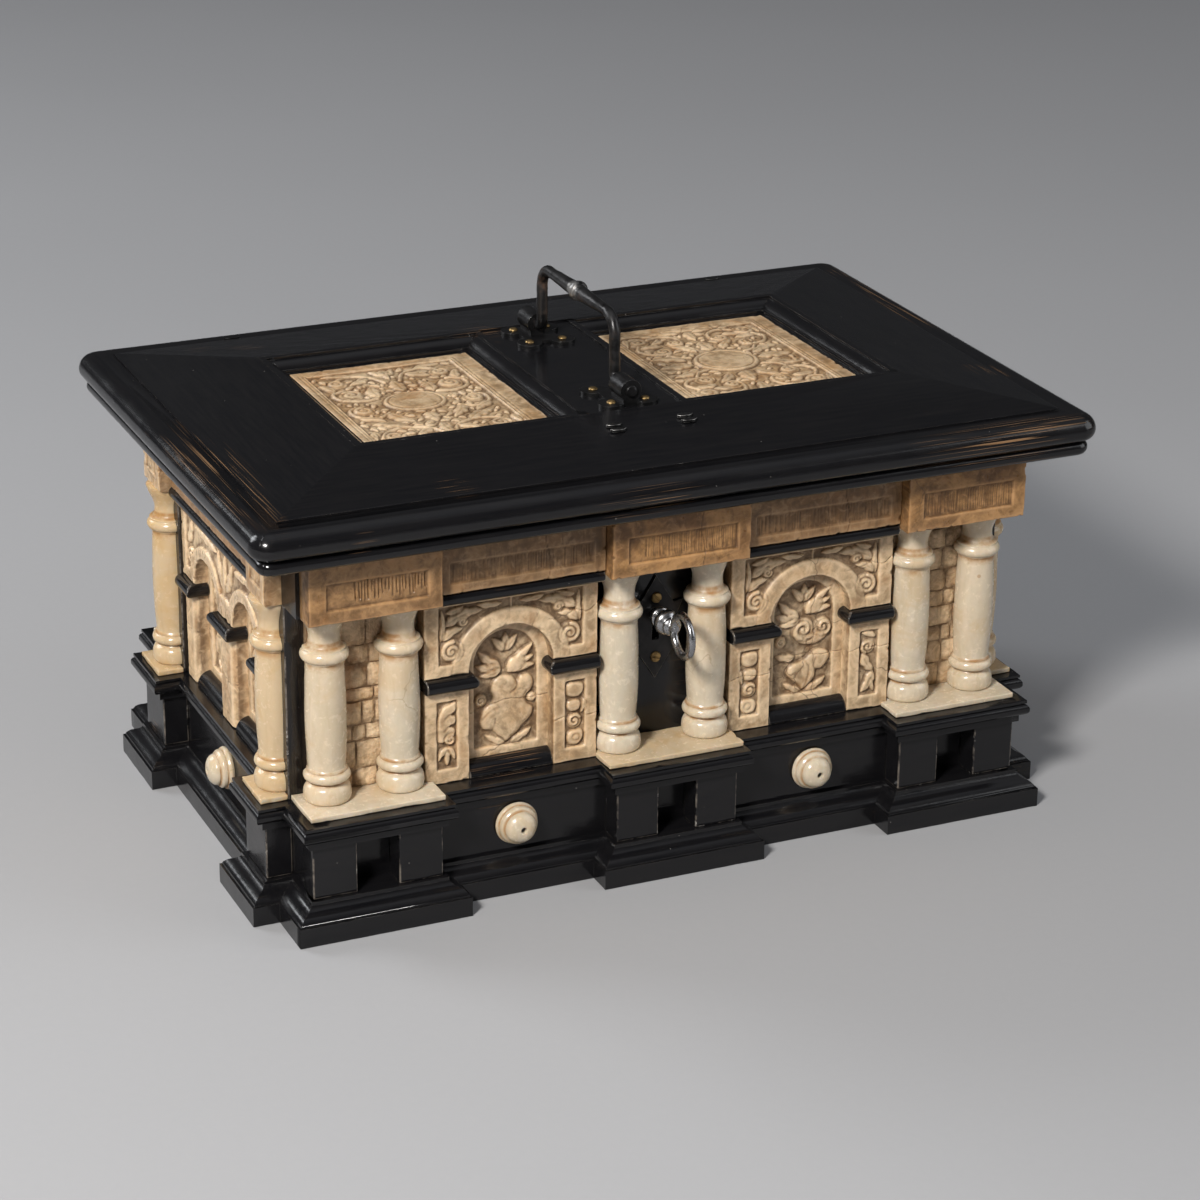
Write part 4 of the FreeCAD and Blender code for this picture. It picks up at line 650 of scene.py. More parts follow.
def ease(value):
    """A smooth step from 0 to 1."""
    held = np.clip(value, 0.0, 1.0)
    return held * held * (3.0 - 2.0 * held)


def crown(value):
    """A round shoulder from 0 to 1."""
    held = np.clip(value, 0.0, 1.0)
    return np.sqrt(np.maximum(0.0, 1.0 - (1.0 - held) ** 2))


def grid_lines(low, high, step, fine=None):
    """Grid lines from low to high: even, or fine in one stretch and coarse beside it."""
    if fine is None:
        return np.linspace(low, high, max(2, int(round((high - low) / step)) + 1))
    start, end = max(low, fine[0]), min(high, fine[1])
    parts = [np.linspace(start, end, int(round((end - start) / step)) + 1)]
    if start - low > 1e-6:
        parts.insert(0, np.linspace(low, start, int((start - low) / 3.0) + 2)[:-1])
    if high - end > 1e-6:
        parts.append(np.linspace(end, high, int((high - end) / 3.0) + 2)[1:])
    return np.concatenate(parts)


def smooth_line(points, closed=False, per_span=6):
    """A smooth line through a few points."""
    given = np.array(points, float)
    if closed:
        ring = np.vstack([given[-1], given, given[:2]])
    else:
        ring = np.vstack([2 * given[0] - given[1], given, 2 * given[-1] - given[-2]])
    t = np.linspace(0.0, 1.0, per_span, endpoint=False)[:, None]
    parts = []
    for a, b, c, d in zip(ring[:-3], ring[1:-2], ring[2:-1], ring[3:]):
        curve = 2 * b + (c - a) * t + (2 * a - 5 * b + 4 * c - d) * t ** 2
        parts.append(0.5 * (curve + (3 * b - a - 3 * c + d) * t ** 3))
    if not closed:
        parts.append(given[-1:])
    return np.vstack(parts)


def polar(centre, reach_u, reach_v, angle):
    """Points round a centre."""
    return np.column_stack([centre[0] + reach_u * np.cos(angle), centre[1] + reach_v * np.sin(angle)])


def circle(centre, radius, count=28, squash=1.0):
    """Points round a circle or an oval."""
    return polar(centre, radius, radius * squash, np.linspace(0.0, 2.0 * math.pi, count, endpoint=False))


def spiral(centre, radius, turns, start, way):
    """Points along a spiral from its outside to its eye; start is in degrees."""
    angle = np.linspace(0.0, 2.0 * math.pi * turns, int(20 * turns))
    reach = radius * (1.0 - 0.9 * angle / angle[-1])
    return polar(centre, reach, reach, math.radians(start) + way * angle)


def leaf_line(base, tip, bend, t):
    """The middle line of a leaf from its stalk to its tip, bowed to the left, and its way across."""
    start, end = np.array(base, float), np.array(tip, float)
    span = np.hypot(*(end - start))
    along = (end - start) / span
    across = np.array([-along[1], along[0]])
    return start + t * span * along + bend * 4.0 * t * (1.0 - t) * across, across


def leaf(base, tip, width, lobes=1, bend=0.0):
    """Outline of a leaf with lobed edges."""
    t = np.linspace(0.0, 1.0, 10 * lobes + 8)[:, None]
    lobed = 1.0 if lobes == 1 else 0.72 + 0.28 * np.abs(np.sin(math.pi * lobes * t ** 1.1))
    half = width / 2 * np.sin(math.pi * t ** 0.8) ** 0.8 * lobed
    middle, across = leaf_line(base, tip, bend, t)
    return np.vstack([middle + half * across, (middle - half * across)[::-1]])


def line_distance(u, v, line):
    """Distance from points to a line."""
    best = np.full(u.shape, 1e9)
    for (a, b), (c, d) in zip(line[:-1], line[1:]):
        du, dv = c - a, d - b
        along = np.clip(((u - a) * du + (v - b) * dv) / max(du * du + dv * dv, 1e-9), 0.0, 1.0)
        best = np.minimum(best, (u - a - along * du) ** 2 + (v - b - along * dv) ** 2)
    return np.sqrt(best)


def inside_by(u, v, outline):
    """Distance to a closed outline, positive inside it."""
    ring = closed(outline)
    within = np.zeros(u.shape, bool)
    for (a, b), (c, d) in zip(ring[:-1], ring[1:]):
        if b != d:
            within ^= ((b > v) != (d > v)) & (u < a + (v - b) / (d - b) * (c - a))
    distance = line_distance(u, v, ring)
    return np.where(within, distance, -distance)


def lattice_noise(u, v, size, seed):
    """Smooth random values between -1 and 1, with features of that size."""
    column, row = np.floor(u / size), np.floor(v / size)
    s, t = ease(u / size - column), ease(v / size - row)
    j, i = (column - column.min()).astype(int), (row - row.min()).astype(int)
    table = np.random.default_rng(seed).uniform(-1.0, 1.0, (i.max() + 2, j.max() + 2))
    low = table[i, j] * (1 - s) + table[i, j + 1] * s
    high = table[i + 1, j] * (1 - s) + table[i + 1, j + 1] * s
    return low * (1 - t) + high * t


def blurred(level, reach):
    """A grid of levels blurred over a number of points."""
    count = max(1, int(round(reach * 2)))
    offsets = np.arange(-count, count + 1)
    weights = np.exp(-((offsets / max(reach, 0.5)) ** 2))
    weights /= weights.sum()
    wide = np.pad(level, count, mode="edge")
    rows = sum(w * wide[count + o:count + o + level.shape[0], :] for w, o in zip(weights, offsets))
    return sum(w * rows[:, count + o:count + o + level.shape[1]] for w, o in zip(weights, offsets))


class Canvas:
    """One carved face. A hole through it is (centre u, centre v, radius)."""

    def __init__(self, half, low_v, high_v, step, fine_u=None, fine_v=None, holes=()):
        self.u_lines = grid_lines(-half, half, step, fine_u)
        self.v_lines = grid_lines(low_v, high_v, step, fine_v)
        self.u, self.v = np.meshgrid(self.u_lines, self.v_lines)
        self.level = np.zeros(self.u.shape)
        self.step, self.holes, self.line = step, holes, carving("outline")

    def move(self, across, up):
        """Counts the places on the face from another middle."""
        self.u_lines, self.v_lines = self.u_lines - across, self.v_lines - up
        self.u, self.v = np.meshgrid(self.u_lines, self.v_lines)

    def near(self, line, margin, measure):
        """The part of the grid round a line, and how far its points lie from it."""
        low, high = np.min(line, 0) - margin, np.max(line, 0) + margin
        columns = slice(*np.searchsorted(self.u_lines, [low[0], high[0]]))
        rows = slice(*np.searchsorted(self.v_lines, [low[1], high[1]]))
        return (rows, columns), measure(self.u[rows, columns], self.v[rows, columns], line)

    def sink(self, outline, depth, slope=0.5):
        """Cuts the ground inside an outline back to a depth."""
        part, distance = self.near(outline, 0.1, inside_by)
        self.level[part] = np.minimum(self.level[part], -depth * ease(distance / slope))

    def raised(self, part, distance, shape, cut):
        """Leaves a shape standing where the distance into it is positive, with a line cut round it."""
        made = np.where(distance > 0.0, np.maximum(self.level[part], shape), self.level[part])
        made -= cut * np.exp(-(((distance + self.line * 0.6) / self.line) ** 2))
        self.level[part] = made

    def swell(self, outline, base, height, soft=1.4, cut=0.30):
        """Leaves a rounded shape standing on the ground."""
        part, distance = self.near(outline, 1.6, inside_by)
        self.raised(part, distance, base + height * crown(distance / soft), cut)

    def groove(self, line, depth=0.3, width=None):
        """Cuts a line."""
        broad = width or self.line
        part, distance = self.near(line, broad * 3, line_distance)
        self.level[part] -= depth * np.exp(-((distance / broad) ** 2))

    def band(self, line, width, base, height):
        """Leaves a rounded band standing along a line."""
        part, away = self.near(line, width + 1.5, line_distance)
        distance = width / 2 - away
        self.raised(part, distance, base + height * crown(distance * 2 / width), 0.24)

    def edge_distance(self):
        """Distance to the edge of the face or of a hole."""
        across = np.minimum(self.u - self.u_lines[0], self.u_lines[-1] - self.u)
        up = np.minimum(self.v - self.v_lines[0], self.v_lines[-1] - self.v)
        holes = [np.hypot(self.u - u, self.v - v) - radius for u, v, radius in self.holes]
        return np.maximum(np.minimum.reduce([across, up, *holes]), 0.0)

    def wear(self, seed, cracks_at=(), chipped=1.6, soften=0.32):
        """Rounds and chips the edges, and leaves tool marks and cracks."""
        seed += bpy.context.scene.casket_carving.seed
        edge, marks = self.edge_distance(), carving("unevenness")
        if soften:
            self.level = blurred(self.level, soften / self.step)
        rounding = carving("worn_edge") * (1.0 + 0.55 * lattice_noise(self.u, self.v, 4.0, seed))
        short = np.clip(rounding - edge, 0.0, rounding)
        self.level -= rounding - np.sqrt(np.maximum(rounding ** 2 - short ** 2, 0.0))
        chip = np.clip(lattice_noise(self.u, self.v, 2.3, seed + 5) - 0.55, 0.0, 1.0)
        self.level -= chipped * chip * np.clip(1.0 - edge / 1.8, 0.0, 1.0)
        self.level += marks * lattice_noise(self.u, self.v, 5.0, seed + 1)
        self.level += marks * 0.7 * lattice_noise(self.u + self.v, self.v - self.u, 1.5, seed + 2)
        for line in cracks_at:
            self.groove(line, 0.38, 0.22)
        self.level = np.minimum(self.level, 0.0)

    def hollow(self):
        """How far each point lies in a hollow: 0.5 is flat, 1 is a deep groove."""
        narrow = blurred(self.level, 0.7 / self.step) - self.level
        wide = blurred(self.level, 2.4 / self.step) - self.level
        return np.clip(0.5 + 1.35 * narrow + 0.6 * wide - 0.11 * self.level, 0.0, 1.0)


class Field:
    """A sunk field of a face: places count from its foot, and heights are shares of its depth."""

    def __init__(self, canvas, ground, across=1.0, up=1.0, foot=0.0):
        self.canvas, self.ground = canvas, ground
        self.across, self.up, self.foot = across, up, foot
        self.size, self.way = abs(across), math.copysign(1.0, across * up)

    def at(self, u, v):
        """A place of the field on the face."""
        return self.across * u, self.foot + self.up * v

    def line(self, points, closed=False, per_span=6):
        """A smooth line through places of the field."""
        return smooth_line([self.at(*p) for p in points], closed, per_span)

    def swell(self, outline, share, soft):
        """A rounded shape that stands up by a share of the depth."""
        self.canvas.swell(outline, -self.ground, self.ground * share, soft)

    def leaf(self, base, tip, width, share, lobes=1, bend=0.0, rib=True):
        """A leaf with its midrib."""
        base, tip, width, bend = self.at(*base), self.at(*tip), width * self.size, bend * self.way
        self.swell(leaf(base, tip, width, lobes, bend), share, width * 0.32)
        if rib:
            middle, _ = leaf_line(base, tip, bend, np.linspace(0.06, 0.86, 12)[:, None])
            self.canvas.groove(middle, 0.22, self.canvas.line * 0.8)

    def lobe(self, points, share, soft=2.4):
        """A rounded lobe inside a few points."""
        self.swell(self.line(points, True, 4), share, soft)

    def disc(self, centre, radius, share, soft, squash=1.0):
        """A round or oval boss."""
        self.swell(circle(self.at(*centre), radius * self.size, 48, squash), share, soft)

    def volute(self, centre, radius, share, start, way=1, turns=2.2):
        """A round curl: a low disc with a thick band wound on it."""
        centre, radius, height = self.at(*centre), radius * self.size, self.ground * share
        self.canvas.swell(circle(centre, radius), -self.ground, height * 0.5, radius * 0.3)
        line = spiral(centre, radius * 0.8, turns * 0.72, start, way * self.way)
        self.canvas.band(line, radius * 0.40, height * 0.3 - self.ground, height * 0.7)

    def strap(self, points, width, share):
        """A rounded band through a few points."""
        self.canvas.band(self.line(points), width, -self.ground, self.ground * share)

    def groove(self, points, depth, width=None):
        """A cut line through a few points."""
        self.canvas.groove(self.line(points), depth, width)

    def fill(self, half_u, half_v, share, size, seed, tries=900):
        """Covers what is left of the ground with small leaves that lean away from the middle."""
        random, canvas = np.random.default_rng(seed), self.canvas
        for _ in range(tries):
            foot = random.uniform((-half_u, -half_v), (half_u, half_v))
            heading = math.atan2(foot[1], foot[0]) + random.choice((-1.0, 1.0)) * random.uniform(0.3, 1.9)
            span = size * random.uniform(0.6, 1.2)
            tip = foot + span * np.array([math.cos(heading), math.sin(heading)])
            outline = leaf(foot, tip, span * 0.5)
            if np.max(np.abs(outline) - (half_u, half_v)) > 0.0:
                continue
            columns = np.minimum(np.searchsorted(canvas.u_lines, outline[:, 0]), len(canvas.u_lines) - 1)
            rows = np.minimum(np.searchsorted(canvas.v_lines, outline[:, 1]), len(canvas.v_lines) - 1)
            if np.max(canvas.level[rows, columns]) < (0.2 * share - 1.0) * self.ground:
                self.leaf(foot, tip, span * 0.5, share * 0.85, 1, span * random.uniform(-0.12, 0.12))


class Carved:
    """Gathers carved plates into one mesh."""

    def __init__(self):
        self.points, self.faces, self.count = [], [], 0
        self.numbers = {"hollow": [], "tone": [], "lot": []}

    def plate(self, canvas, where, out, tone, painted_top_shade=0.0):
        """Adds a plate; where puts (u, out, v) in the room, and the tone fades towards the top."""
        u, v, level = canvas.u.copy(), canvas.v.copy(), canvas.level
        shape = u.shape
        kept = np.ones((shape[0] - 1, shape[1] - 1), bool)
        for centre_u, centre_v, radius in canvas.holes:
            reach = np.hypot(u - centre_u, v - centre_v)
            within = reach < radius
            kept &= ~(within[:-1, :-1] & within[1:, :-1] & within[:-1, 1:] & within[1:, 1:])
            pull = np.where(within, radius / np.maximum(reach, 1e-6), 1.0)
            u = centre_u + (u - centre_u) * pull
            v = np.maximum(centre_v + (v - centre_v) * pull, canvas.v_lines[0])
        index = np.arange(u.size).reshape(shape)
        quads = np.stack([index[:-1, :-1], index[:-1, 1:], index[1:, 1:], index[1:, :-1]], -1)[kept]
        used = np.unique(quads)
        quads = np.searchsorted(used, quads)
        back, face = out
        flat_u, flat_v, flat_level = u.ravel()[used], v.ravel()[used], level.ravel()[used]
        front = where(flat_u, face + np.maximum(flat_level, back - face + 0.2), flat_v)
        edges = np.concatenate([quads[:, [place, (place + 1) % 4]] for place in range(4)])
        code, twin = edges @ (len(used), 1), edges @ (1, len(used))
        border = edges[~np.isin(code, twin)]
        follow = dict(border.tolist())
        rim = np.unique(border)
        rim_number = {int(point): len(used) + place for place, point in enumerate(rim)}
        behind = where(flat_u[rim], np.full(len(rim), back), flat_v[rim])
        rise = np.concatenate([flat_v, flat_v[rim]]) - canvas.v.mean()
        start = self.count
        self.points += [front, behind]
        self.numbers["hollow"] += [canvas.hollow().ravel()[used], np.full(len(rim), 0.55)]
        # The tone shifts with height here: painted shade towards the top of the plate.
        self.numbers["tone"].append(tone + painted_top_shade * rise / np.ptp(canvas.v_lines))
        self.numbers["lot"].append(np.full(len(rise), tone))
        self.faces += (quads + start).tolist()
        while follow:
            loop = [next(iter(follow))]
            while loop[-1] in follow:
                loop.append(follow.pop(loop[-1]))
            loop.pop()
            hind = [rim_number[point] + start for point in loop]
            for place, point in enumerate(loop):
                after = (place + 1) % len(loop)
                self.faces.append([loop[after] + start, point + start, hind[place], hind[after]])
            self.faces.append(hind[::-1])
        self.count += len(rise)

    def mesh(self, name):
        """The plates as a mesh."""
        made = new_mesh(name, np.vstack(self.points), self.faces)
        for label, values in self.numbers.items():
            keep(made, label, np.concatenate(values))
        return made


def on_side(side, middle=0.0):
    """Puts plate coordinates, counted from the plate's middle, on one side of the casket."""
    return lambda u, w, v: placed(side, u + middle, w, v)


def plates_of(node):
    """Each plate as seen from its side: number, side, middle, half width, out, lowest and highest."""
    for number, box in enumerate(solid_boxes(node)):
        side = side_of(box)
        (low_u, high_u), out, (low_v, high_v) = seen_from(side, box)
        yield number, side, (low_u + high_u) / 2, (high_u - low_u) / 2, out, low_v, high_v


def add_carved(made, node, finish="tan_alabaster"):
    """Puts gathered plates in the scene in place of their node."""
    add_piece("carved_" + node, made.mesh(node), finish, [node])


def rectangle(low_u, high_u, low_v, high_v):
    """Corners of a rectangle."""
    return np.array([(low_u, low_v), (high_u, low_v), (high_u, high_v), (low_u, high_v)], float)


def closed(outline):
    """An outline that comes back to its start."""
    return np.vstack([outline, outline[:1]])


# Outlines of the carving, in millimetres from the foot or the middle of a field

BROAD_LEAF = [
    (0.0, 0.8), (3.8, 3.0), (7.8, 7.3), (11.4, 10.7), (12.4, 14.9), (10.0, 17.0), (9.3, 20.0), (11.3, 22.4),
    (12.5, 26.0), (10.6, 29.4), (6.9, 29.6), (5.3, 27.4), (3.1, 29.9), (-1.2, 31.0), (-4.7, 29.1),
    (-6.1, 25.3), (-5.6, 20.8), (-9.4, 16.5), (-10.9, 11.7), (-9.4, 7.9), (-5.6, 6.8), (-1.9, 2.9),
]
BROAD_VEINS = (
    ([(5.4, 27.6), (4.6, 24.6), (2.2, 22.8)], 0.36),
    ([(12.2, 15.0), (9.6, 17.2), (8.0, 20.4), (9.4, 22.6)], 0.40),
    ([(-5.6, 7.2), (-4.6, 9.6), (-4.4, 12.4)], 0.34),
    ([(-10.6, 12.0), (-7.0, 15.6), (-2.4, 17.2), (2.0, 16.0)], 0.22),
)
CUP_LEAF = [
    (0.0, 0.6), (3.7, 2.8), (6.2, 6.2), (6.8, 9.2), (9.3, 9.5), (12.4, 12.7), (13.0, 16.4), (9.3, 18.7),
    (5.6, 18.5), (3.1, 16.7), (0.6, 14.8), (-4.2, 13.6), (-6.6, 11.3), (-6.8, 8.9), (-4.3, 6.0), (-1.2, 3.3),
]
CUP_VEINS = (
    ([(0.6, 1.4), (2.6, 6.4), (3.0, 11.4), (1.4, 14.0)], 0.34),
    ([(6.8, 9.2), (5.4, 11.6), (6.0, 14.6)], 0.34),
)
WING_LEAF = [
    (-4.0, 17.6), (-3.7, 22.6), (-1.6, 26.6), (1.8, 28.2), (3.9, 28.9), (3.9, 25.0), (2.2, 23.3),
    (3.8, 22.2), (3.6, 19.4), (1.4, 18.4), (3.5, 17.0), (3.2, 13.8), (0.4, 12.0), (-2.6, 11.4),
    (-3.9, 13.4),
]
FLOWER_CUP = [(1.4, 31.4), (0.8, 34.8), (2.4, 37.6), (6.2, 38.8), (8.4, 36.6), (7.4, 33.4), (4.6, 31.6)]
CURL_BED = [(-4.6, 27.6), (-2.6, 23.4), (2.2, 21.2), (7.4, 21.6), (11.8, 24.4), (12.6, 28.2), (4.4, 27.0)]
WING_TAIL = [(0.2, 9.4), (2.6, 8.6), (3.7, 6.0), (3.4, 3.4), (1.9, 5.4), (0.2, 6.4)]
LOBE_STACK = (
    ([(-3.6, 27.6), (0.0, 28.6), (3.7, 27.2), (3.4, 23.4), (0.4, 21.6), (-3.4, 23.0)], 0.92, 1.4),
    ([(-3.4, 20.0), (-0.4, 21.0), (2.6, 19.6), (2.2, 16.4), (-0.8, 15.4), (-3.4, 17.0)], 0.92, 1.4),
    ([(-3.6, 5.4), (-1.0, 7.6), (3.0, 7.2), (3.8, 4.0), (1.4, 0.9), (-2.6, 1.4)], 0.95, 1.5),
)
SCROLL_LEAVES = (
    ((-3.4, 26.0), (3.6, 28.4), 3.0, 0.85, 1, 0.5, False), ((2.8, 19.2), (-3.2, 9.8), 5.0, 0.95, 2, 0.8),
    ((-2.6, 11.0), (2.8, 1.2), 5.2, 0.95, 2, -0.8), ((-1.2, 7.0), (-3.4, 1.0), 2.4, 0.85, 1, 0.2, False),
)
SPANDREL_LEAVES = (
    ((14.6, 122.6), (3.4, 121.6), 3.4, 0.8, 2, 0.4), ((28.8, 115.2), (11.6, 120.2), 6.4, 0.92, 3, -1.8),
    ((27.6, 120.6), (19.6, 123.2), 2.6, 0.8, 1, 0.3), ((29.8, 108.4), (29.4, 122.8), 3.0, 0.84, 2, 0.6),
    ((29.0, 109.0), (19.8, 113.6), 4.6, 0.95, 2, -1.6),
)
STRAP_LEAVES = (
    ((6.0, 15.4), (14.6, 25.4), 5.2, 2, 1.2), ((15.6, 6.0), (30.2, 12.4), 6.0, 3, 1.4),
    ((17.4, 27.2), (28.0, 27.6), 4.6, 2, 0.8), ((14.0, 34.0), (20.8, 30.6), 4.0, 1, 0.3),
    ((29.0, 41.4), (31.4, 31.0), 3.0, 1, 0.2), ((3.0, 41.0), (13.0, 42.0), 3.0, 1, 0.2),
    ((21.0, 42.4), (14.6, 40.6), 2.6, 1, 0.2),
)
FOLIAGE_STEMS = (
    [(1.6, -41.6), (6.0, -33.0), (15.6, -29.0), (24.4, -32.0), (28.0, -37.6)],
    [(15.2, -10.4), (21.6, -14.6), (28.6, -10.2), (29.4, -3.0), (25.4, 0.6)],
    [(13.2, 8.6), (19.4, 7.0), (27.6, 11.4), (28.6, 19.4), (22.4, 22.6)],
    [(3.4, 26.6), (7.6, 34.8), (15.6, 38.4), (22.6, 35.2)],
)
FOLIAGE_CURLS = (
    ((22.8, -37.2), 5.0, 0, 1), ((23.6, -4.4), 4.8, 90, -1), ((21.8, 16.0), 5.4, 120, 1),
    ((22.6, 31.2), 4.4, 60, -1),
)
FOLIAGE_LEAVES = (
    ((12.6, -29.4), (26.8, -20.8), 7.2, 3, 1.4), ((5.4, -33.6), (13.6, -40.6), 5.4, 2, 0.6),
    ((16.0, -11.2), (8.2, -23.4), 6.8, 3, 1.2), ((28.8, -12.4), (19.4, -19.4), 5.2, 2, -0.8),
    ((12.0, 9.8), (10.4, 24.2), 7.0, 3, -1.0), ((27.0, 21.4), (30.6, 32.4), 5.2, 2, 0.8),
    ((8.2, 34.8), (18.2, 28.6), 5.6, 2, -0.8), ((13.4, 38.4), (27.0, 41.6), 4.4, 2, 0.6),
    ((0.8, 34.0), (5.4, 42.0), 4.2, 1, 0.4), ((29.8, -30.0), (31.0, -40.6), 3.2, 1, 0.2),
)


def carve_niche(canvas, half, spring, flip, ground, kind):
    """A branching plant inside a raised arched border: one broad leaf, or two curls over a cup of leaves."""
    top = polar((0.0, spring), half, half, np.linspace(0.0, math.pi, 40))
    canvas.sink(np.vstack([top, [(-half, NICHE_FOOT), (half, NICHE_FOOT)]]), ground, 0.55)
    plant = Field(canvas, ground, flip * half / NICHE_HALF, (spring - NICHE_FOOT) / 37.2, NICHE_FOOT)
    plant.leaf((0.4, 40.6), (0.4, 49.4), 4.4, 0.8)
    for way in (1, -1):
        plant.leaf((0.6 * way, 41.0), (5.6 * way, 47.6), 3.6, 0.74, 1, 0.5 * way)
    reach = 4.0 * kind
    for tip, wide in (((-11.6, 42.6), 5.0), ((-13.0, 36.4), 5.2), ((-11.4, 31.6), 4.0)):
        plant.leaf((-1.2, 33.4), tip, wide, 0.82, 2, 0.7)
    for u, v, wide in ((12.4, 42.8, 4.2), (12.8, 37.6, 3.8), (13.2, 33.4, 3.8)):
        plant.leaf((2.6, 31.6 + reach), (u, v + reach), wide, 0.95, 1, 0.9, False)
    plant.lobe([(u, v + reach) for u, v in FLOWER_CUP], 0.97, 2.0)
    if kind == 0:
        plant.lobe(BROAD_LEAF, 0.98, 3.4)
        plant.disc((11.5, 19.2), 2.1, 0.9, 1.0)
        for line, depth in BROAD_VEINS:
            plant.groove(line, depth)
        plant.volute((-10.6, 20.8), 2.9, 0.85, 40, 1, 2.0)
    else:
        plant.lobe(CUP_LEAF, 0.94, 2.6)
        for line, depth in CUP_VEINS:
            plant.groove(line, depth)
        plant.lobe(CURL_BED, 0.9)
        plant.volute((0.2, 28.6), 5.2, 1.0, 250, -1, 1.7)
        plant.volute((9.4, 28.8), 4.2, 1.0, 290, 1, 1.7)
        plant.volute((-10.2, 24.0), 2.7, 0.85, 40, 1, 2.0)
        plant.leaf((-3.0, 16.6), (-12.6, 18.2), 4.2, 0.85, 2, 0.8)
    plant.leaf((0.2, 0.6), (-8.4, 5.2), 3.6, 0.8, 2, 0.5)
    plant.leaf((1.6, 0.6), (11.8, 5.8), 4.0, 0.8, 2, -0.6)
    for shift in (-9.0, -7.8, -6.6, -5.4):
        canvas.groove(np.array([plant.at(shift, 0.8), plant.at(shift * 1.1, 3.6)]), 0.26, 0.3)


def carve_spandrels(canvas, spring, half, top, foot, ground):
    """Volutes and leaves in sunk fields beside a plain arch band."""
    for way in (1, -1):
        arc = np.linspace(math.pi / 2, math.asin((foot - spring) / ARCH_BAND), 26)
        ring = polar((0.0, spring), ARCH_BAND, ARCH_BAND, arc)
        canvas.sink(np.vstack([[(0.0, top)], ring, [(half, foot), (half, top)]]) * (way, 1.0), ground, 0.45)
        corner = Field(canvas, ground, way)
        for leaf_shape in SPANDREL_LEAVES:
            corner.leaf(*leaf_shape)
        corner.volute((25.4, 104.4), 5.0, 1.0, 80, -1, 2.4)
        corner.volute((20.4, 116.4), 2.4, 0.85, 0, 1, 1.8)
    inner = ARCH_BAND - 0.1
    canvas.groove(polar((0.0, spring), inner, inner, np.linspace(0.0, math.pi, 60)), 0.32, 0.3)


def carve_arcade(canvas, spring, ground):
    """Leaves and volutes in a sunk field round two arches side by side."""
    band, side, low, high = 21.2, 51.0, 99.2, 124.0
    arc = np.linspace(math.radians(166), math.radians(24), 30)
    left = polar((-ARCADE_MIDDLE, spring), band, band, arc)
    right = (left * (-1.0, 1.0))[::-1]
    canvas.sink(np.vstack([
        [(-side, low)], left, [(0.0, 103.4)], right, [(side, low), (side, high), (-side, high)],
    ]), ground, 0.45)
    for way in (1, -1):
        wing = Field(canvas, ground, way)
        wing.leaf((1.4, 106.0), (9.2, 121.4), 5.6, 0.9, 3, -0.8)
        wing.leaf((11.2, 119.0), (40.6, 120.6), 4.6, 0.85, 4, 0.6)
        wing.volute((45.2, 105.6), 4.2, 0.95, 60, -1)
        wing.leaf((48.2, 110.2), (44.0, 122.4), 5.0, 0.9, 2, 0.6)
    wing.leaf((0.0, 105.2), (0.0, 122.8), 4.6, 0.95, 2)


def carve_pier(canvas, kind, half, low_v, high_v, ground, flip):
    """A sunk upright field with a wing leaf, a stack of lobes or scrolls."""
    canvas.sink(rectangle(-half, half, low_v, high_v), ground, 0.3)
    strip = Field(canvas, ground, flip * half / 4.2, (high_v - low_v) / 29.3, low_v)
    if kind == 0:
        strip.lobe(WING_LEAF, 0.98, 0.9)
        strip.groove([(-0.6, 22.0), (1.0, 23.4), (2.2, 23.4)], 0.4)
        strip.groove([(-1.0, 16.8), (0.4, 18.2), (1.6, 18.4)], 0.4)
        strip.volute((1.5, 12.6), 2.6, 1.0, 150, flip, 1.7)
        for way in (1, -1):
            strip.lobe([(u * way if u > 0.3 else u, v) for u, v in WING_TAIL], 0.95, 0.8)
        strip.leaf((0.2, 8.0), (0.2, 0.9), 2.4, 0.95, rib=False)
    elif kind == 1:
        for outline, share, soft in LOBE_STACK:
            strip.lobe(outline, share, soft)
        strip.volute((-0.2, 11.4), 3.4, 0.95, 30, flip, 1.8)
        canvas.groove(circle(strip.at(0.5, 4.2), 1.5 * strip.size), 0.4)
        strip.leaf((3.7, 21.0), (2.8, 14.0), 2.0, 0.85, 1, 0.4, False)
    else:
        strip.volute((0.4, 22.0), 3.5, 0.95, 250, -flip, 1.9)
        for leaf_shape in SCROLL_LEAVES:
            strip.leaf(*leaf_shape)


def carve_hatching(canvas, field, seed, depth, span, gap, lean, drop, bold):
    """A sunk field with upright strokes across part of it."""
    low_u, high_u, low_v, high_v = field
    edge = rectangle(*field)
    canvas.sink(edge, depth, 0.35)
    canvas.groove(closed(edge), 0.34, 0.26)
    random = np.random.default_rng(bpy.context.scene.casket_carving.seed + seed)
    place, end = (low_u + share * (high_u - low_u) for share in span)
    while place < end:
        foot = low_v + (high_v - low_v) * drop * random.uniform(0.4, 1.3)
        head = high_v - (high_v - low_v) * random.uniform(0.03, 0.12)
        tilt = lean + random.uniform(-0.35, 0.35)
        bow = place + tilt * 0.4 + random.uniform(-0.1, 0.1)
        stroke = smooth_line([(place, head), (bow, (head + foot) / 2), (place + tilt, foot)], per_span=3)
        canvas.groove(stroke, bold * random.uniform(0.35, 0.75), random.uniform(0.2, 0.36))
        place += gap * random.uniform(0.72, 1.3)


def carve_oval(middle, half_u, half_v, radius, ring, squash, seed):
    """An oval boss with a ring cut in it, and small leaves on what is left of the ground."""
    middle.disc((0, 0), radius, LID_RELIEF, 1.2, squash)
    middle.canvas.groove(closed(circle((0, 0), ring, 48, squash)), 0.5, 0.45)
    middle.fill(half_u - 0.6, half_v - 0.6, LID_RELIEF, 5.0, seed)


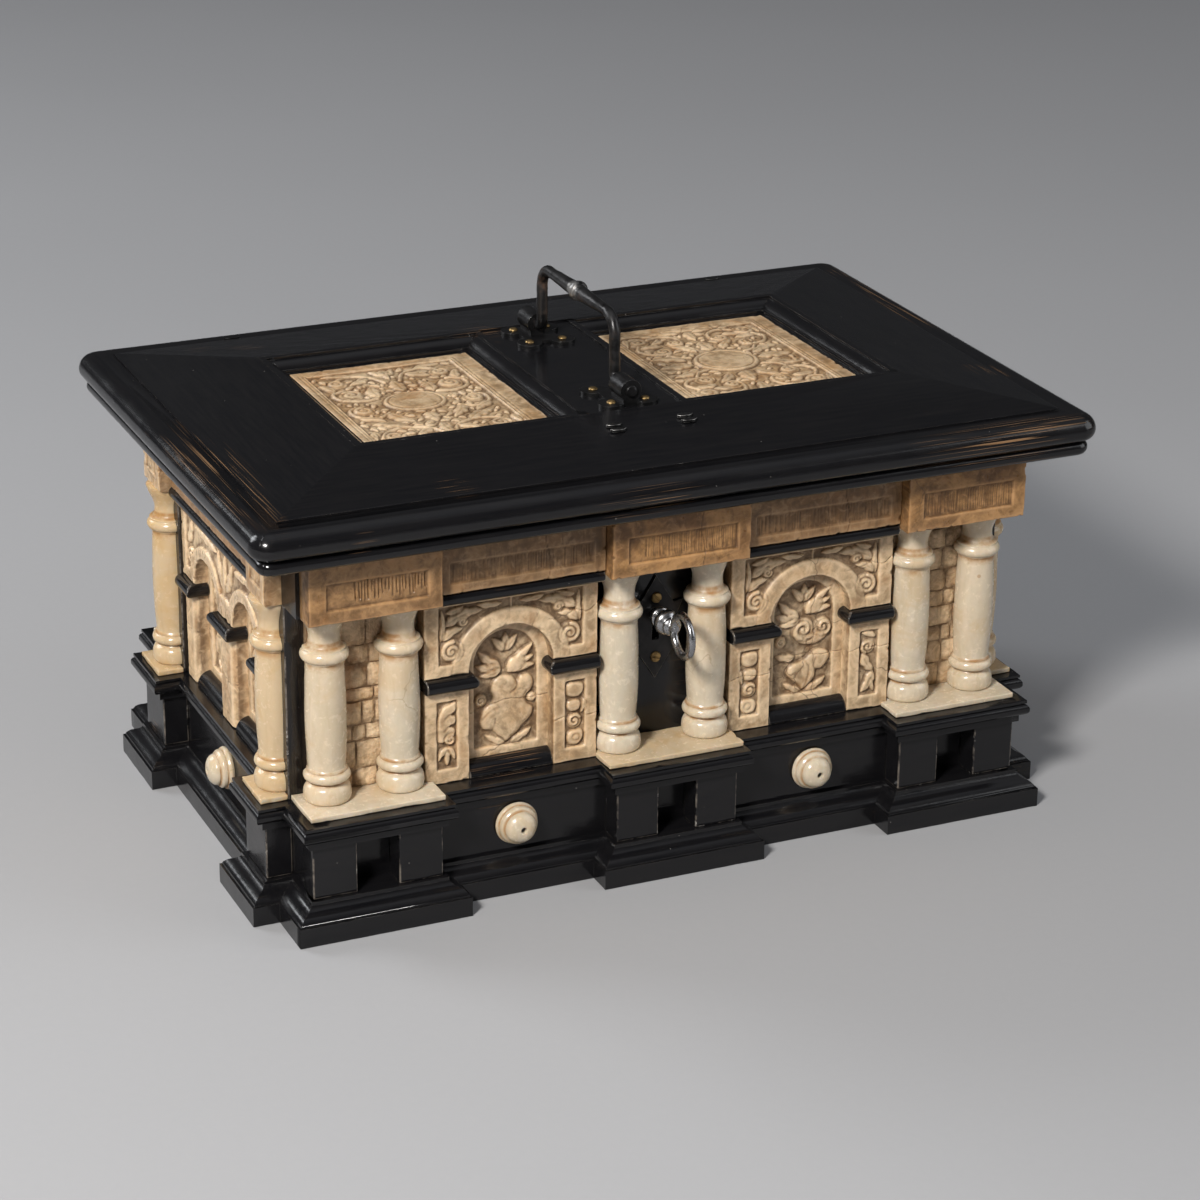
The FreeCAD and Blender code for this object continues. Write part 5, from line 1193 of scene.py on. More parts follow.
def carve_strapwork(canvas, half_u, half_v, ground):
    """Round boss, C scrolls, leaves and corner volutes, the same in all four quarters."""
    canvas.sink(rectangle(-half_u, half_u, -half_v, half_v), ground, 0.6)
    for across, up in ((1, 1), (-1, 1), (-1, -1), (1, -1)):
        quarter = Field(canvas, ground, across, up)
        quarter.volute((25.4, 35.6), 5.4, LID_RELIEF, 200 * across * up)
        quarter.strap([(27.0, 30.2), (29.8, 24.0), (26.6, 18.4), (20.6, 16.6)], 1.8, LID_RELIEF)
        quarter.volute((19.8, 20.4), 4.2, LID_RELIEF, 270 * up, -1)
        quarter.strap([(20.0, 37.4), (13.8, 39.4), (8.4, 36.0), (6.6, 29.6)], 1.8, LID_RELIEF)
        quarter.volute((10.8, 29.2), 4.4, LID_RELIEF, 180 if across > 0 else 0)
        for base, tip, width, lobes, bend in STRAP_LEAVES:
            quarter.leaf(base, tip, width, LID_RELIEF, lobes, bend)
        quarter.strap([(12.6, 8.6), (17.6, 10.4), (20.6, 14.6)], 1.5, LID_RELIEF)
    middle = Field(canvas, ground)
    for up in (1, -1):
        middle.leaf((0, up * 15.0), (0, up * 27.6), 8.0, LID_RELIEF, 3)
        middle.leaf((0, up * 41.6), (0, up * 29.8), 6.0, LID_RELIEF, 2)
        middle.leaf((up * 15.0, 0), (up * 31.0, 0), 7.4, LID_RELIEF, 3)
    carve_oval(middle, half_u, half_v, 14.2, 12.0, 0.94, 61)


def carve_foliage(canvas, half_u, half_v, ground):
    """Leafy scrolls springing from a stem, the same to left and right of an oval."""
    canvas.sink(rectangle(-half_u, half_u, -half_v, half_v), ground, 0.6)
    for way in (1, -1):
        side = Field(canvas, ground, way)
        for stem in FOLIAGE_STEMS:
            side.strap(stem, 1.8, LID_RELIEF)
        for centre, radius, start, winding in FOLIAGE_CURLS:
            side.volute(centre, radius, LID_RELIEF, start, winding)
        for base, tip, width, lobes, bend in FOLIAGE_LEAVES:
            side.leaf(base, tip, width, LID_RELIEF, lobes, bend)
    middle = Field(canvas, ground)
    for foot, tip, width in ((-41.6, -27.6, 6.0), (-14.0, -26.0, 7.4), (13.6, 27.8, 7.4), (41.8, 30.0, 5.4)):
        middle.leaf((0, foot), (0, tip), width, LID_RELIEF, 3)
    carve_oval(middle, half_u, half_v, 13.2, 11.2, 0.86, 62)


# Geometry nodes for what is turned, laid or driven in like numbers

def new_tree(name, **sockets):
    """Puts a geometry node tree on the bench. A word or a default's type gives the kind of each input."""
    tree = Bench.tree = bpy.data.node_groups.new(name, "GeometryNodeTree")
    tree.interface.new_socket(name="Geometry", in_out="OUTPUT", socket_type="NodeSocketGeometry")
    for key, default in sockets.items():
        kind = default if isinstance(default, str) else type(default).__name__.title()
        made = tree.interface.new_socket(
            name=key.replace("_", " "), in_out="INPUT", socket_type="NodeSocket" + kind)
        if kind != default:
            made.default_value = default
    return new_node("NodeGroupInput").outputs[:-1]


def end_tree(geometry, finish):
    """Realize Instances and Set Material close the tree on the bench."""
    real = wire("GeometryNodeRealizeInstances", {0: geometry})
    painted = wire("GeometryNodeSetMaterial", {"Geometry": real, "Material": finish})
    new_node("NodeGroupOutput", {0: painted})
    return Bench.tree


def named(name, kind="FLOAT"):
    """A field kept on the geometry."""
    return wire("GeometryNodeInputNamedAttribute", {0: name}, data_type=kind)


def geometry_of(helper):
    """The geometry of an object that is an input of the tree."""
    return wire("GeometryNodeObjectInfo", {"Object": helper}, "Geometry")


def counted(per_row):
    """The row of each point, and its place in the row."""
    index = wire("GeometryNodeInputIndex")
    row = maths("FLOOR", divided(plus(index, 0.5), per_row))
    return row, minus(index, times(row, per_row))


def stood_on(points, shape):
    """A shape on each point, turned as the point says, made real."""
    stood = wire("GeometryNodeInstanceOnPoints", {
        "Points": points, "Instance": shape, "Rotation": named("lean", "FLOAT_VECTOR")})
    return wire("GeometryNodeRealizeInstances", {0: stood})


def uneven(geometry, amount, wave, seed):
    """Moves points along their normals by noise."""
    place = wire("GeometryNodeInputPosition")
    inputs = {"Vector": place, "W": seed, "Scale": divided(1.0, wave), "Detail": 2.0}
    random = wire("ShaderNodeTexNoise", inputs, noise_dimensions="4D")
    push = times(minus(random, 0.5), amount)
    move = on_vectors("SCALE", wire("GeometryNodeInputNormal"), push, "Scale")
    return wire("GeometryNodeSetPosition", {"Geometry": geometry, "Offset": move})


def turning_tree():
    """Turns an outline about each axis point, and makes it a little uneven."""
    axes, outline, rings, segments, amount, wave, seed, finish = new_tree(
        "turned_alabaster", Axes="Geometry", Outline="Object", Rings=100, Segments=64, Unevenness=0.0003,
        Wave_length=0.011, Seed=1.0, Finish="Material")
    line = geometry_of(outline)
    around, ring = counted(rings)
    angle = times(divided(around, segments), 2.0 * math.pi)

    def sampled(name):
        return wire("GeometryNodeSampleIndex", {"Geometry": line, "Value": named(name), "Index": ring})

    reach = sampled("reach")
    across, along = times(reach, maths("COSINE", angle)), times(reach, maths("SINE", angle))
    sheet = wire("GeometryNodeMeshGrid", {"Vertices X": plus(segments, 1.0), "Vertices Y": rings})
    marked = wire("GeometryNodeStoreNamedAttribute", {
        "Geometry": sheet, "Name": "hollow", "Value": sampled("hollow")})
    bent = wire("GeometryNodeSetPosition", {
        "Geometry": marked, "Position": vector(across, along, sampled("height"))})
    shell = wire("GeometryNodeMergeByDistance", {"Geometry": bent, "Distance": 1e-6})
    return end_tree(uneven(stood_on(axes, shell), amount, wave, seed), finish)


def driven_tree():
    """Sets a nail or a screw on each point, turned as the point says."""
    places, stud, amount, seed, finish = new_tree(
        "driven_studs", Places="Geometry", Stud="Object", Unevenness=0.0001, Seed=1.0, Finish="Material")
    return end_tree(uneven(stood_on(places, geometry_of(stud)), amount, 0.0012, seed), finish)


def masonry_tree():
    """Lays courses of stones of uneven length and height on a wall, with broken joints."""
    _, stone, width, height, courses, columns, stone_length, joint, depth, rough, seed, finish = new_tree(
        "masonry", Wall="Geometry", Stone="Object", Width=0.045, Height=0.08, Courses=9, Columns=6,
        Stone_length=0.01, Joint=0.0005, Depth=0.003, Unevenness=0.0006, Seed=1, Finish="Material")
    index = wire("GeometryNodeInputIndex")
    row, column = counted(columns)
    rise = divided(height, courses)

    def chance(key, low, high):
        inputs = {2: low, 3: high, "ID": key, "Seed": seed}
        return wire("FunctionNodeRandomValue", inputs, 1, data_type="FLOAT")

    def joint_at(step):
        place = plus(column, step)
        shift = plus(chance(plus(times(row, 64.0), place), -0.75, -0.05), place)
        broken = times(maths("MODULO", row, 2.0), 0.45)
        return least(most(times(minus(shift, broken), stone_length), 0.0), width)

    def bed_at(step):
        level = plus(row, step)
        inner = times(plus(level, chance(plus(level, 5000.0), -0.28, 0.28)), rise)
        low, at_top = times(inner, above(level, 0.5)), above(level, minus(courses, 0.5))
        return wire("ShaderNodeMix", {0: at_top, 2: low, 3: height})

    left, right, low, high = joint_at(0.0), joint_at(1.0), bed_at(0.0), bed_at(1.0)
    wide, tall = minus(minus(right, left), joint), minus(minus(high, low), joint)
    stand = times(depth, chance(plus(index, 900.0), 0.72, 1.0))
    points = wire("GeometryNodePoints", {"Count": times(courses, columns)})
    middle = vector(times(plus(left, right), 0.5), 0.0, times(plus(low, high), 0.5))
    laid = wire("GeometryNodeSetPosition", {"Geometry": points, "Position": middle})
    tilts = ((300.0, 0.05), (400.0, 0.025), (500.0, 0.06))
    stood = wire("GeometryNodeInstanceOnPoints", {
        "Points": laid, "Selection": above(wide, 0.0012), "Instance": geometry_of(stone),
        "Rotation": vector(*[chance(plus(index, key), -tilt, tilt) for key, tilt in tilts]),
        "Scale": vector(wide, stand, tall)})
    real = wire("GeometryNodeRealizeInstances", {0: stood})
    finer = wire("GeometryNodeSubdivideMesh", {0: real, "Level": 1})
    coarse = uneven(finer, rough, 0.0034, times(seed, 1.7))
    return end_tree(uneven(coarse, times(rough, 0.5), 0.0011, times(seed, 1.7)), finish)


def run_tree(tree, source, **values):
    """Runs a tree on a mesh, with its inputs set by identifier, and returns a plain mesh."""
    worker = in_scene(tree.name + "_bench", source)
    modifier = worker.modifiers.new("tree", "NODES")
    modifier.node_group = tree
    identifiers = {
        item.name.replace(" ", "_"): item.identifier
        for item in tree.interface.items_tree if item.in_out == "INPUT"
    }
    for label, value in values.items():
        modifier[identifiers[label]] = value
    worker.update_tag()
    made = evaluated(worker, modifier)
    bpy.data.objects.remove(worker)
    if not len(made.polygons):
        raise RuntimeError(f"{tree.name} made no faces")
    return made


def bench_object(name, points, faces=(), **numbers):
    """A helper object that a tree reads and that is removed afterwards."""
    made = new_mesh(name, points, faces)
    for label, values in numbers.items():
        keep(made, label, values)
    return in_scene(name, made)


def point_mesh(name, points, leans):
    """Loose points with a turn for each."""
    made = new_mesh(name, points)
    stored = made.attributes.new("lean", "FLOAT_VECTOR", "POINT")
    stored.data.foreach_set("vector", np.array(leans, np.float32).ravel())
    return made


def outline_object(name, corners, grooves, width):
    """A turned outline as a line of points with a reach and a hollow for each; grooves are heights."""
    reach, height = np.array(corners, float).T
    depth = [np.exp(-(((height - groove) / width) ** 2)) for groove in grooves]
    points = [(0.0, 0.0, z / 1000.0) for z in height]
    return bench_object(
        name, points, reach=reach / 1000.0, height=height / 1000.0, hollow=0.5 + 0.5 * np.max(depth, 0))


def turned(tree, outline, axes, leans, **values):
    """Turns an outline about axes that lean as they are told."""
    return run_tree(
        tree, point_mesh("axes", axes, leans), Outline=outline, Rings=len(outline.data.vertices),
        Finish=finishes()["cream_alabaster"], **values)


# Pieces

def round_corners(made, radius, cuts=7):
    """Rounds the four upright corners of a frame of mouldings."""
    half_x = max(vertex.co.x for vertex in made.verts) - radius
    half_y = max(vertex.co.y for vertex in made.verts) - radius
    for axis, half in ((Vector((1.0, 0.0, 0.0)), half_x), (Vector((0.0, 1.0, 0.0)), half_y)):
        for way in (1.0, -1.0):
            for cut in range(cuts):
                point = axis * (way * (half + radius * cut / cuts))
                everything = made.verts[:] + made.edges[:] + made.faces[:]
                bmesh.ops.bisect_plane(made, geom=everything, dist=1e-7, plane_co=point, plane_no=axis)
    for vertex in made.verts:
        out_x, out_y = abs(vertex.co.x) - half_x, abs(vertex.co.y) - half_y
        if out_x > 0.0 and out_y > 0.0:
            shrink = max(out_x, out_y) / math.hypot(out_x, out_y)
            vertex.co.x = math.copysign(half_x + out_x * shrink, vertex.co.x)
            vertex.co.y = math.copysign(half_y + out_y * shrink, vertex.co.y)


def worn_copy(node, edge, span, dent, seed, sharp=30.0, corner=0.0):
    """A CAD node's mesh with its edges dented and rounded: worn is 1 on a corner, -1 in a crease."""
    made = merged(node)
    bmesh.ops.dissolve_degenerate(made, edges=made.edges, dist=1e-6)
    bmesh.ops.dissolve_limit(made, angle_limit=math.radians(0.4), verts=made.verts, edges=made.edges)
    if corner:
        round_corners(made, corner)
    limit = math.radians(sharp)

    def is_sharp(line):
        return line.is_manifold and line.calc_face_angle() > limit

    for line in [e for e in made.edges if is_sharp(e)]:
        rest, start = line, line.verts[0]
        for left in range(int(line.calc_length() / span), 0, -1):
            rest, start = bmesh.utils.edge_split(rest, start, 1.0 / (left + 1))
            other = [e for e in start.link_edges if e is not rest]
            rest = max([rest, *other], key=lambda e: e.calc_length())
    made.normal_update()
    offset = Vector((seed * 1.37, seed * 0.71, seed * 2.03))
    moves = {}
    for vertex in made.verts:
        if any(is_sharp(e) for e in vertex.link_edges):
            push = noise.noise(vertex.co * 260.0 + offset) * 0.7
            push += noise.noise(vertex.co * 90.0 + offset) * 0.6
            moves[vertex] = vertex.normal * min(0.0, push - 0.15) * dent
    for vertex, move in moves.items():
        vertex.co += move
    layer = made.faces.layers.float.new("worn")
    edges = [e for e in made.edges if is_sharp(e)]
    result = bmesh.ops.bevel(
        made, geom=edges, offset=edge, offset_type="OFFSET", segments=2, profile=0.55, affect="EDGES",
        clamp_overlap=True, loop_slide=True)
    for face in result["faces"]:
        inward = [e for e in face.edges if e.is_manifold and e.calc_face_angle_signed() < -0.1]
        face[layer] = -1.0 if inward else 1.0
    bmesh.ops.triangulate(made, faces=[f for f in made.faces if len(f.verts) > 4])
    low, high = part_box(node)
    for vertex in made.verts:
        vertex.co = [min(max(value, a), b) for value, a, b in zip(vertex.co, low, high)]
    return freed(made, "worn_" + node)


def weigh_normals(piece):
    """Shades flat faces flat up to their rounded edges."""
    modifier = piece.modifiers.new("weighted", "WEIGHTED_NORMAL")
    modifier.keep_sharp = True
    modifier.weight = 80
    made = evaluated(piece, modifier)
    old = piece.data
    made.name = old.name
    piece.data = made
    bpy.data.meshes.remove(old)


def plain_numbers(mesh, **numbers):
    """Gives a mesh the same number at every point."""
    for name, value in numbers.items():
        keep(mesh, name, np.full(len(mesh.vertices), value))


class CASKET_OT_woodwork(bpy.types.Operator):
    """Rubs and dents the edges of the ebonised boards and mouldings"""

    bl_idname = "casket.woodwork"
    bl_label = "Woodwork"

    def execute(self, context):
        wear = context.scene.casket_wear
        for seed, node in enumerate(WOOD):
            corner = wear.lid_corner if node == "lid_edge_mouldings" else 0.0
            mesh = worn_copy(node, wear.wood_edge, wear.span, wear.dent, seed, corner=corner)
            finish = "ebonised_post" if node == "corner_posts" else "ebonised_wood"
            weigh_normals(add_piece("worn_" + node, mesh, finish, [node], crease=60.0))
        return {"FINISHED"}


class CASKET_OT_lid_panels(bpy.types.Operator):
    """Carves the two alabaster panels of the lid"""

    bl_idname = "casket.lid_panels"
    bl_label = "Lid panels"

    def execute(self, context):
        panels = (
            ("left_lid_panel", carve_foliage, 11, 0.05, (5.0, 9.6, 4.6, 5.6)),
            ("right_lid_panel", carve_strapwork, 23, 0.2, (5.0, 8.6, 4.6, 7.6)),
        )
        for node, carver, seed, tone, (left, right, front, back) in panels:
            low, high = (np.array(corner) * 1000.0 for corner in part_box(node))
            middle, (half_u, half_v) = (low + high) / 2, (high - low)[:2] / 2
            canvas = Canvas(half_u, -half_v, half_v, carving("lid_step"))
            across, up = (left - right) / 2, (front - back) / 2
            field_u, field_v = half_u - (left + right) / 2, half_v - (front + back) / 2
            canvas.move(across, up)
            carver(canvas, field_u, field_v, carving("shallow"))
            for gap in (0.8, 2.3):
                rim = rectangle(-field_u - gap, field_u + gap, -field_v - gap, field_v + gap)
                canvas.groove(closed(rim), 0.42, 0.3)
            canvas.move(-across, -up)
            crack = smooth_line([(-half_u, 9.0), (-20.0, 12.0), (-4.0, 17.6), (14.0, 16.0), (half_u, 24.0)])
            canvas.wear(seed, [crack])
            made = Carved()

            def where(u, w, v, centre=middle):
                return np.column_stack([u + centre[0], v + centre[1], w]) / 1000.0

            made.plate(canvas, where, (low[2], high[2]), tone)
            add_carved(made, node, "lid_alabaster")
        return {"FINISHED"}


class CASKET_OT_niches(bpy.types.Operator):
    """Carves the foliage panels inside the arches"""

    bl_idname = "casket.niches"
    bl_label = "Niche panels"

    def execute(self, context):
        step, spring = carving("step"), solid_boxes("arch_heads_front")[0][0][2]
        single, double = ((0.0, 1),), ((-ARCADE_MIDDLE, 1), (ARCADE_MIDDLE, -1))
        for node in ("niche_panels_front", "niche_panels_back", "niche_panels_ends"):
            made, at_end = Carved(), node == "niche_panels_ends"
            fine, reach, wide = (step * 1.35, 42.5, END_NICHE_HALF) if at_end else (step, 18.6, NICHE_HALF)
            for number, side, middle, half, out, low_v, high_v in plates_of(node):
                canvas = Canvas(half, low_v, high_v, fine, (-reach, reach), NICHE_SHOWN)
                for shift, flip in double if at_end else single:
                    canvas.move(shift, 0.0)
                    carve_niche(canvas, wide, spring, flip, carving("ground"), number)
                    canvas.move(-shift, 0.0)
                level = 75.0 - 3.0 * number
                crack = smooth_line([
                    (-reach, level - 2.0), (-9.0, level), (0.0, level + 2.4), (9.0, level + 1.4),
                    (reach, level + 2.0)])
                canvas.wear(40 + number + 10 * side, [crack])
                made.plate(canvas, on_side(side, middle), out, 0.7 if at_end else 0.35 + 0.3 * number)
            add_carved(made, node)
        return {"FINISHED"}


class CASKET_OT_arches(bpy.types.Operator):
    """Carves the arch heads with their volutes"""

    bl_idname = "casket.arches"
    bl_label = "Arch heads"

    def execute(self, context):
        step, ground, joint = carving("step"), carving("ground") * 0.85, np.array([18.2, 21.5, 25.2])
        for node in ("arch_heads_front", "arch_heads_back"):
            made = Carved()
            for number, side, middle, half, out, low_v, high_v in plates_of(node):
                canvas = Canvas(half, low_v, high_v, step, holes=[(0.0, low_v, ARCH_RADIUS)])
                carve_spandrels(canvas, low_v, half=half - 6.2, top=123.9, foot=98.8, ground=ground)
                for lean in (-28 + 9 * number, 2, 34 - 5 * number, 63):
                    line = polar((0.0, low_v), joint, joint, math.radians(90 + lean))
                    canvas.groove(line, 0.24, 0.18)
                crack = smooth_line([(16, 112), (21, 111 + number), (27, 114), (33, 113), (38, 117)])
                canvas.wear(100 + number + 10 * side, [crack])
                made.plate(canvas, on_side(side, middle), out, 0.4 + 0.25 * number)
            add_carved(made, node)
        made = Carved()
        for _, side, _, half, out, low_v, high_v in plates_of("arcade_heads_ends"):
            holes = [(middle, low_v, ARCADE_RADIUS) for middle in (-ARCADE_MIDDLE, ARCADE_MIDDLE)]
            canvas = Canvas(half, low_v, high_v, step, holes=holes)
            carve_arcade(canvas, low_v, ground)
            canvas.wear(140 + side)
            made.plate(canvas, on_side(side), out, 0.75)
        add_carved(made, "arcade_heads_ends", "veined_alabaster")
        return {"FINISHED"}


class CASKET_OT_piers(bpy.types.Operator):
    """Carves the plates on the piers"""

    bl_idname = "casket.piers"
    bl_label = "Pier plates"

    def execute(self, context):
        step, made, counts = carving("step"), Carved(), [0] * len(WAYS)
        plain = 3
        kinds = {
            FRONT: ((0, 1.0), (1, 0.35), (1, 0.5), (2, 0.4)),
            BACK: ((2, 0.5), (1, 0.4), (1, 0.9), (0, 0.45)),
        }
        for _, side, middle, half, out, low_v, high_v in plates_of("pier_plates"):
            number = counts[side]
            counts[side] += 1
            kind, tone = kinds[side][number] if side in kinds else (plain, 0.8)
            canvas = Canvas(half, low_v, high_v, step * 1.7 if kind == plain else step)
            if kind == plain:
                canvas.level -= 1.8 * ease(1.0 - (half - np.abs(canvas.u)) / 3.2)
                canvas.groove(np.array([(-half, low_v + 4.6), (half, low_v + 4.6)]), 0.3, 0.3)
            else:
                flip = -1 if middle > 0 else 1
                carve_pier(
                    canvas, kind, half=4.3, low_v=low_v + 6.0, high_v=high_v - 4.6,
                    ground=carving("ground") * 0.8, flip=flip)
            level = low_v + 15.0 + 4.0 * number
            crack = smooth_line([
                (-half, level), (-3.0, level + 1.4), (4.0, level + 0.4), (half, level + 1.0)])
            canvas.wear(160 + number + 10 * side, [crack] if kind else [])
            made.plate(canvas, on_side(side, middle), out, tone)
        add_carved(made, "pier_plates")
        return {"FINISHED"}


class CASKET_OT_blocks(bpy.types.Operator):
    """Carves the hatched blocks over the columns and the frieze plates between them"""

    bl_idname = "casket.blocks"
    bl_label = "Blocks and friezes"

    def execute(self, context):
        fine, gap = carving("step") * 1.15, carving("hatch_gap")
        tones = (0.95, 0.1, 0.3, 0.6, 0.3, 0.5)
        blocks = ("honey_alabaster", fine, (7.3, 6.0, 5.7, 16.4), [
            (0.8, (0.28, 0.98), gap, 0.1, 0.40, 1.15), (0.8, (0.16, 0.97), gap * 0.72, 0.1, 0.16, 0.5),
            (0.8, (0.03, 0.98), gap * 0.72, 0.1, 0.10, 0.5)])
        rows = {
            "front_blocks": blocks, "back_blocks": blocks,
            "end_blocks": ("lid_alabaster", fine, (4.0, 4.0, 6.0, 16.6), [
                (0.6, (0.1, 0.9), gap * 1.1, 0.0, 0.2, 0.5)]),
            "frieze_plates": ("frieze_alabaster", fine * 1.3, (5.3, 5.6, 4.4, 12.9), [
                (0.6, (0.02, 0.98), gap * 0.95, 0.15, 0.1, 0.5)]),
        }
        for node, (finish, step, (left, right, foot, top), hatchings) in rows.items():
            made = Carved()
            for number, side, middle, half, out, low_v, high_v in plates_of(node):
                seed = 200 + number + 10 * side
                canvas = Canvas(half, low_v, high_v, step)
                field = (left - half, half - right, low_v + foot, low_v + top)
                carve_hatching(canvas, field, seed, *hatchings[number % len(hatchings)])
                crack = smooth_line([
                    (half * 0.3, low_v), (half * 0.34, low_v + 8.0), (half * 0.27, low_v + 17.0),
                    (half * 0.33, high_v)])
                canvas.wear(seed, [crack] if number % 2 else [], chipped=3.0 if number else 1.4, soften=0.0)
                # The tone falls towards the top of each plate: on the honey blocks this is painted shadow of
                # the lid's overhang, darker at the top and paler at the foot; on the frieze plates it makes
                # the top paler.
                made.plate(canvas, on_side(side, middle), out, tones[number], painted_top_shade=-0.9)
            add_carved(made, node, finish)
        return {"FINISHED"}


def stone_object():
    """One stone of unit size with a rounded face, a flat back and even sides."""
    count = 6
    lines = np.linspace(-0.5, 0.5, count)
    points = [(x, -0.5 + 0.16 * (2 * x) ** 4 + 0.16 * (2 * z) ** 4, z) for z in lines for x in lines]
    corners = [row * count + column for row in range(count - 1) for column in range(count - 1)]
    faces = [(corner, corner + 1, corner + count + 1, corner + count) for corner in corners]
    rim = [*range(6), *range(11, 36, 6), *range(34, 29, -1), *range(24, 0, -6)]
    hind = {point: len(points) + place for place, point in enumerate(rim)}
    points += [(points[point][0], 0.5, points[point][2]) for point in rim]
    for point, after in zip(rim, rim[1:] + rim[:1]):
        faces.append((after, point, hind[point], hind[after]))
    faces.append([hind[point] for point in reversed(rim)])
    return bench_object("one_stone", points, faces)


class CASKET_OT_masonry(bpy.types.Operator):
    """Lays the small stones of the walls behind the corner columns"""

    bl_idname = "casket.masonry"
    bl_label = "Masonry"

    def execute(self, context):
        settings = context.scene.casket_masonry
        stone, tree, walls = stone_object(), masonry_tree(), []
        for number, box in enumerate(solid_boxes("brick_panels")):
            side = side_of(box)
            seen = seen_from(side, box)
            (low_u, high_u), (back, face), (low_v, high_v) = seen
            width, depth, height = ((high - low) / 1000.0 for low, high in seen)
            mesh = run_tree(
                tree, new_mesh("wall", [(0, 0, 0)]), Stone=stone, Width=width, Height=height,
                Depth=depth * 0.94, Courses=int(round(height / settings.course)),
                Columns=int(width / settings.stone) + 3, Stone_length=settings.stone, Joint=settings.joint,
                Unevenness=settings.unevenness, Seed=settings.seed + number,
                Finish=finishes()["rough_alabaster"])
            local = points_of(mesh)
            out = np.clip((back + face) / 2 - local[:, 1], back, face)
            along = np.clip(local[:, 0] + low_u, low_u, high_u)
            up = np.clip(local[:, 2] + low_v, low_v, high_v)
            mesh.vertices.foreach_set("co", placed(side, along, out, up).astype(np.float32).ravel())
            patch = 0.10 * lattice_noise(along, up, 3.2, number + 70)
            keep(mesh, "hollow", np.clip(0.5 + (face - 0.75 - out) * 0.46 + patch, 0.30, 0.95))
            keep(mesh, "tone", 0.45 + 0.55 * lattice_noise(along, up, 8.0, number + 60))
            front = face - settings.bed * 1000.0
            corners = placed(
                side, [low_u, high_u, high_u, low_u] * 2, [front] * 4 + [back] * 4,
                [low_v, low_v, high_v, high_v] * 2)
            bed = new_mesh("bed", corners, [
                (0, 1, 2, 3), (7, 6, 5, 4), (1, 0, 4, 5), (2, 1, 5, 6), (3, 2, 6, 7), (0, 3, 7, 4)])
            plain_numbers(bed, hollow=0.95, tone=0.2)
            walls += [mesh, bed]
        bpy.data.objects.remove(stone)
        whole = joined("masonry", walls)
        add_piece(
            "laid_brick_panels", whole, "rough_alabaster", ["brick_panels"], crease=55.0)
        return {"FINISHED"}


def column_corners():
    """Outline of a column from foot to block: round foot, ring, swelling shaft, collar, neck and bell."""
    foot = [(8.7, 0.1), (9.35, 0.9), (9.6, 2.7), (9.4, 4.9), (8.7, 6.5), (7.6, 7.6)]
    ring = [(8.0, 9.0), (8.9, 9.4), (9.35, 10.4), (9.25, 11.5), (8.7, 12.4), (8.3, 12.7)]
    collar = [(8.2, 62.3), (9.1, 62.7), (9.65, 63.8), (9.65, 65.0), (9.1, 66.0), (8.7, 66.4)]
    bell = [(6.4, 69.6), (6.2, 70.8), (6.3, 72.4), (6.8, 74.0), (7.8, 76.0), (8.9, 78.0), (9.45, 79.5)]
    t = np.linspace(0.0, 1.0, 14)
    shaft = np.column_stack([7.4 + 0.15 * t + 0.75 * np.sin(math.pi * t ** 0.85), 14.6 + 46.2 * t])
    return np.vstack([
        [(0.0, 0.0), (8.2, 0.0)], smooth_line(foot, per_span=3), [(7.2, 8.0), (7.2, 8.5), (7.7, 8.8)],
        smooth_line(ring, per_span=3), [(8.05, 12.9), (8.05, 13.2), (8.0, 13.8), (7.5, 14.2)], shaft,
        [(7.5, 61.0), (7.5, 61.3), (8.1, 61.5), (8.1, 62.1)], smooth_line(collar, per_span=3),
        [(8.5, 66.6), (8.55, 67.3), (8.2, 67.6), (7.0, 67.9), (6.6, 68.7)], smooth_line(bell, per_span=3),
        [(9.5, 80.3), (9.0, 80.6), (0.0, 80.6)],
    ])


class CASKET_OT_columns(bpy.types.Operator):
    """Turns the alabaster columns and saws their backs flat"""

    bl_idname = "casket.columns"
    bl_label = "Columns"

    def execute(self, context):
        settings, tree = context.scene.casket_turning, turning_tree()
        outline = outline_object("column_outline", column_corners(), (8.3, 13.5, 61.2, 68.2, 69.4), 0.7)
        groups = {f"columns_{way}": [f"columns_{way}"] for way in ("front", "back", "left", "right")}
        groups["columns_front"] = [f"column_front_{number}" for number in range(1, 7)]
        tones = (0.42, 0.10, 0.0, 0.05, 0.16, 0.30)
        lifts = (-2.1, -3.1, -4.5, -4.1, -2.0, -1.5)
        heights, shares = (14.0, 61.0, 69.0, 79.0), (0, 1, 1, 0)  # share of the lift from shaft to bell
        for seed, (name, nodes) in enumerate(groups.items()):
            boxes = [box for node in nodes for box in solid_boxes(node)]
            boxes.sort(key=lambda box: tuple(box[0]))
            meshes = []
            for number, box in enumerate(boxes):
                side = side_of(box)
                (low_u, high_u), (back, face), (low_v, high_v) = seen_from(side, box)
                axis = placed(side, (low_u + high_u) / 2, face - (high_u - low_u) / 2, low_v)
                mesh = turned(
                    tree, outline, axis, [(0.0, 0.0, 1.1 * number + seed)], Segments=settings.segments,
                    Unevenness=settings.column_wave, Wave_length=settings.wave_length,
                    Seed=3.1 * seed + 1.7 * number)
                local, facing = points_of(mesh), np.array(WAYS[side][1])
                local[:, :2] += np.outer(np.maximum(back - local[:, :2] @ facing, 0.0), facing)
                up, lift = local[:, 2] - low_v, lifts[(number + 2 * seed) % len(lifts)]
                up += lift * np.interp(up, heights, shares)
                local[:, 2] = np.clip(low_v + up, low_v, high_v)
                mesh.vertices.foreach_set("co", (local / 1000.0).ravel())
                plain_numbers(mesh, tone=0.95 if side in (LEFT, RIGHT) else tones[number])
                meshes.append(mesh)
            whole = joined(name, meshes)
            add_piece("turned_" + name, whole, "cream_alabaster", nodes, crease=50.0)
        bpy.data.objects.remove(outline)
        return {"FINISHED"}


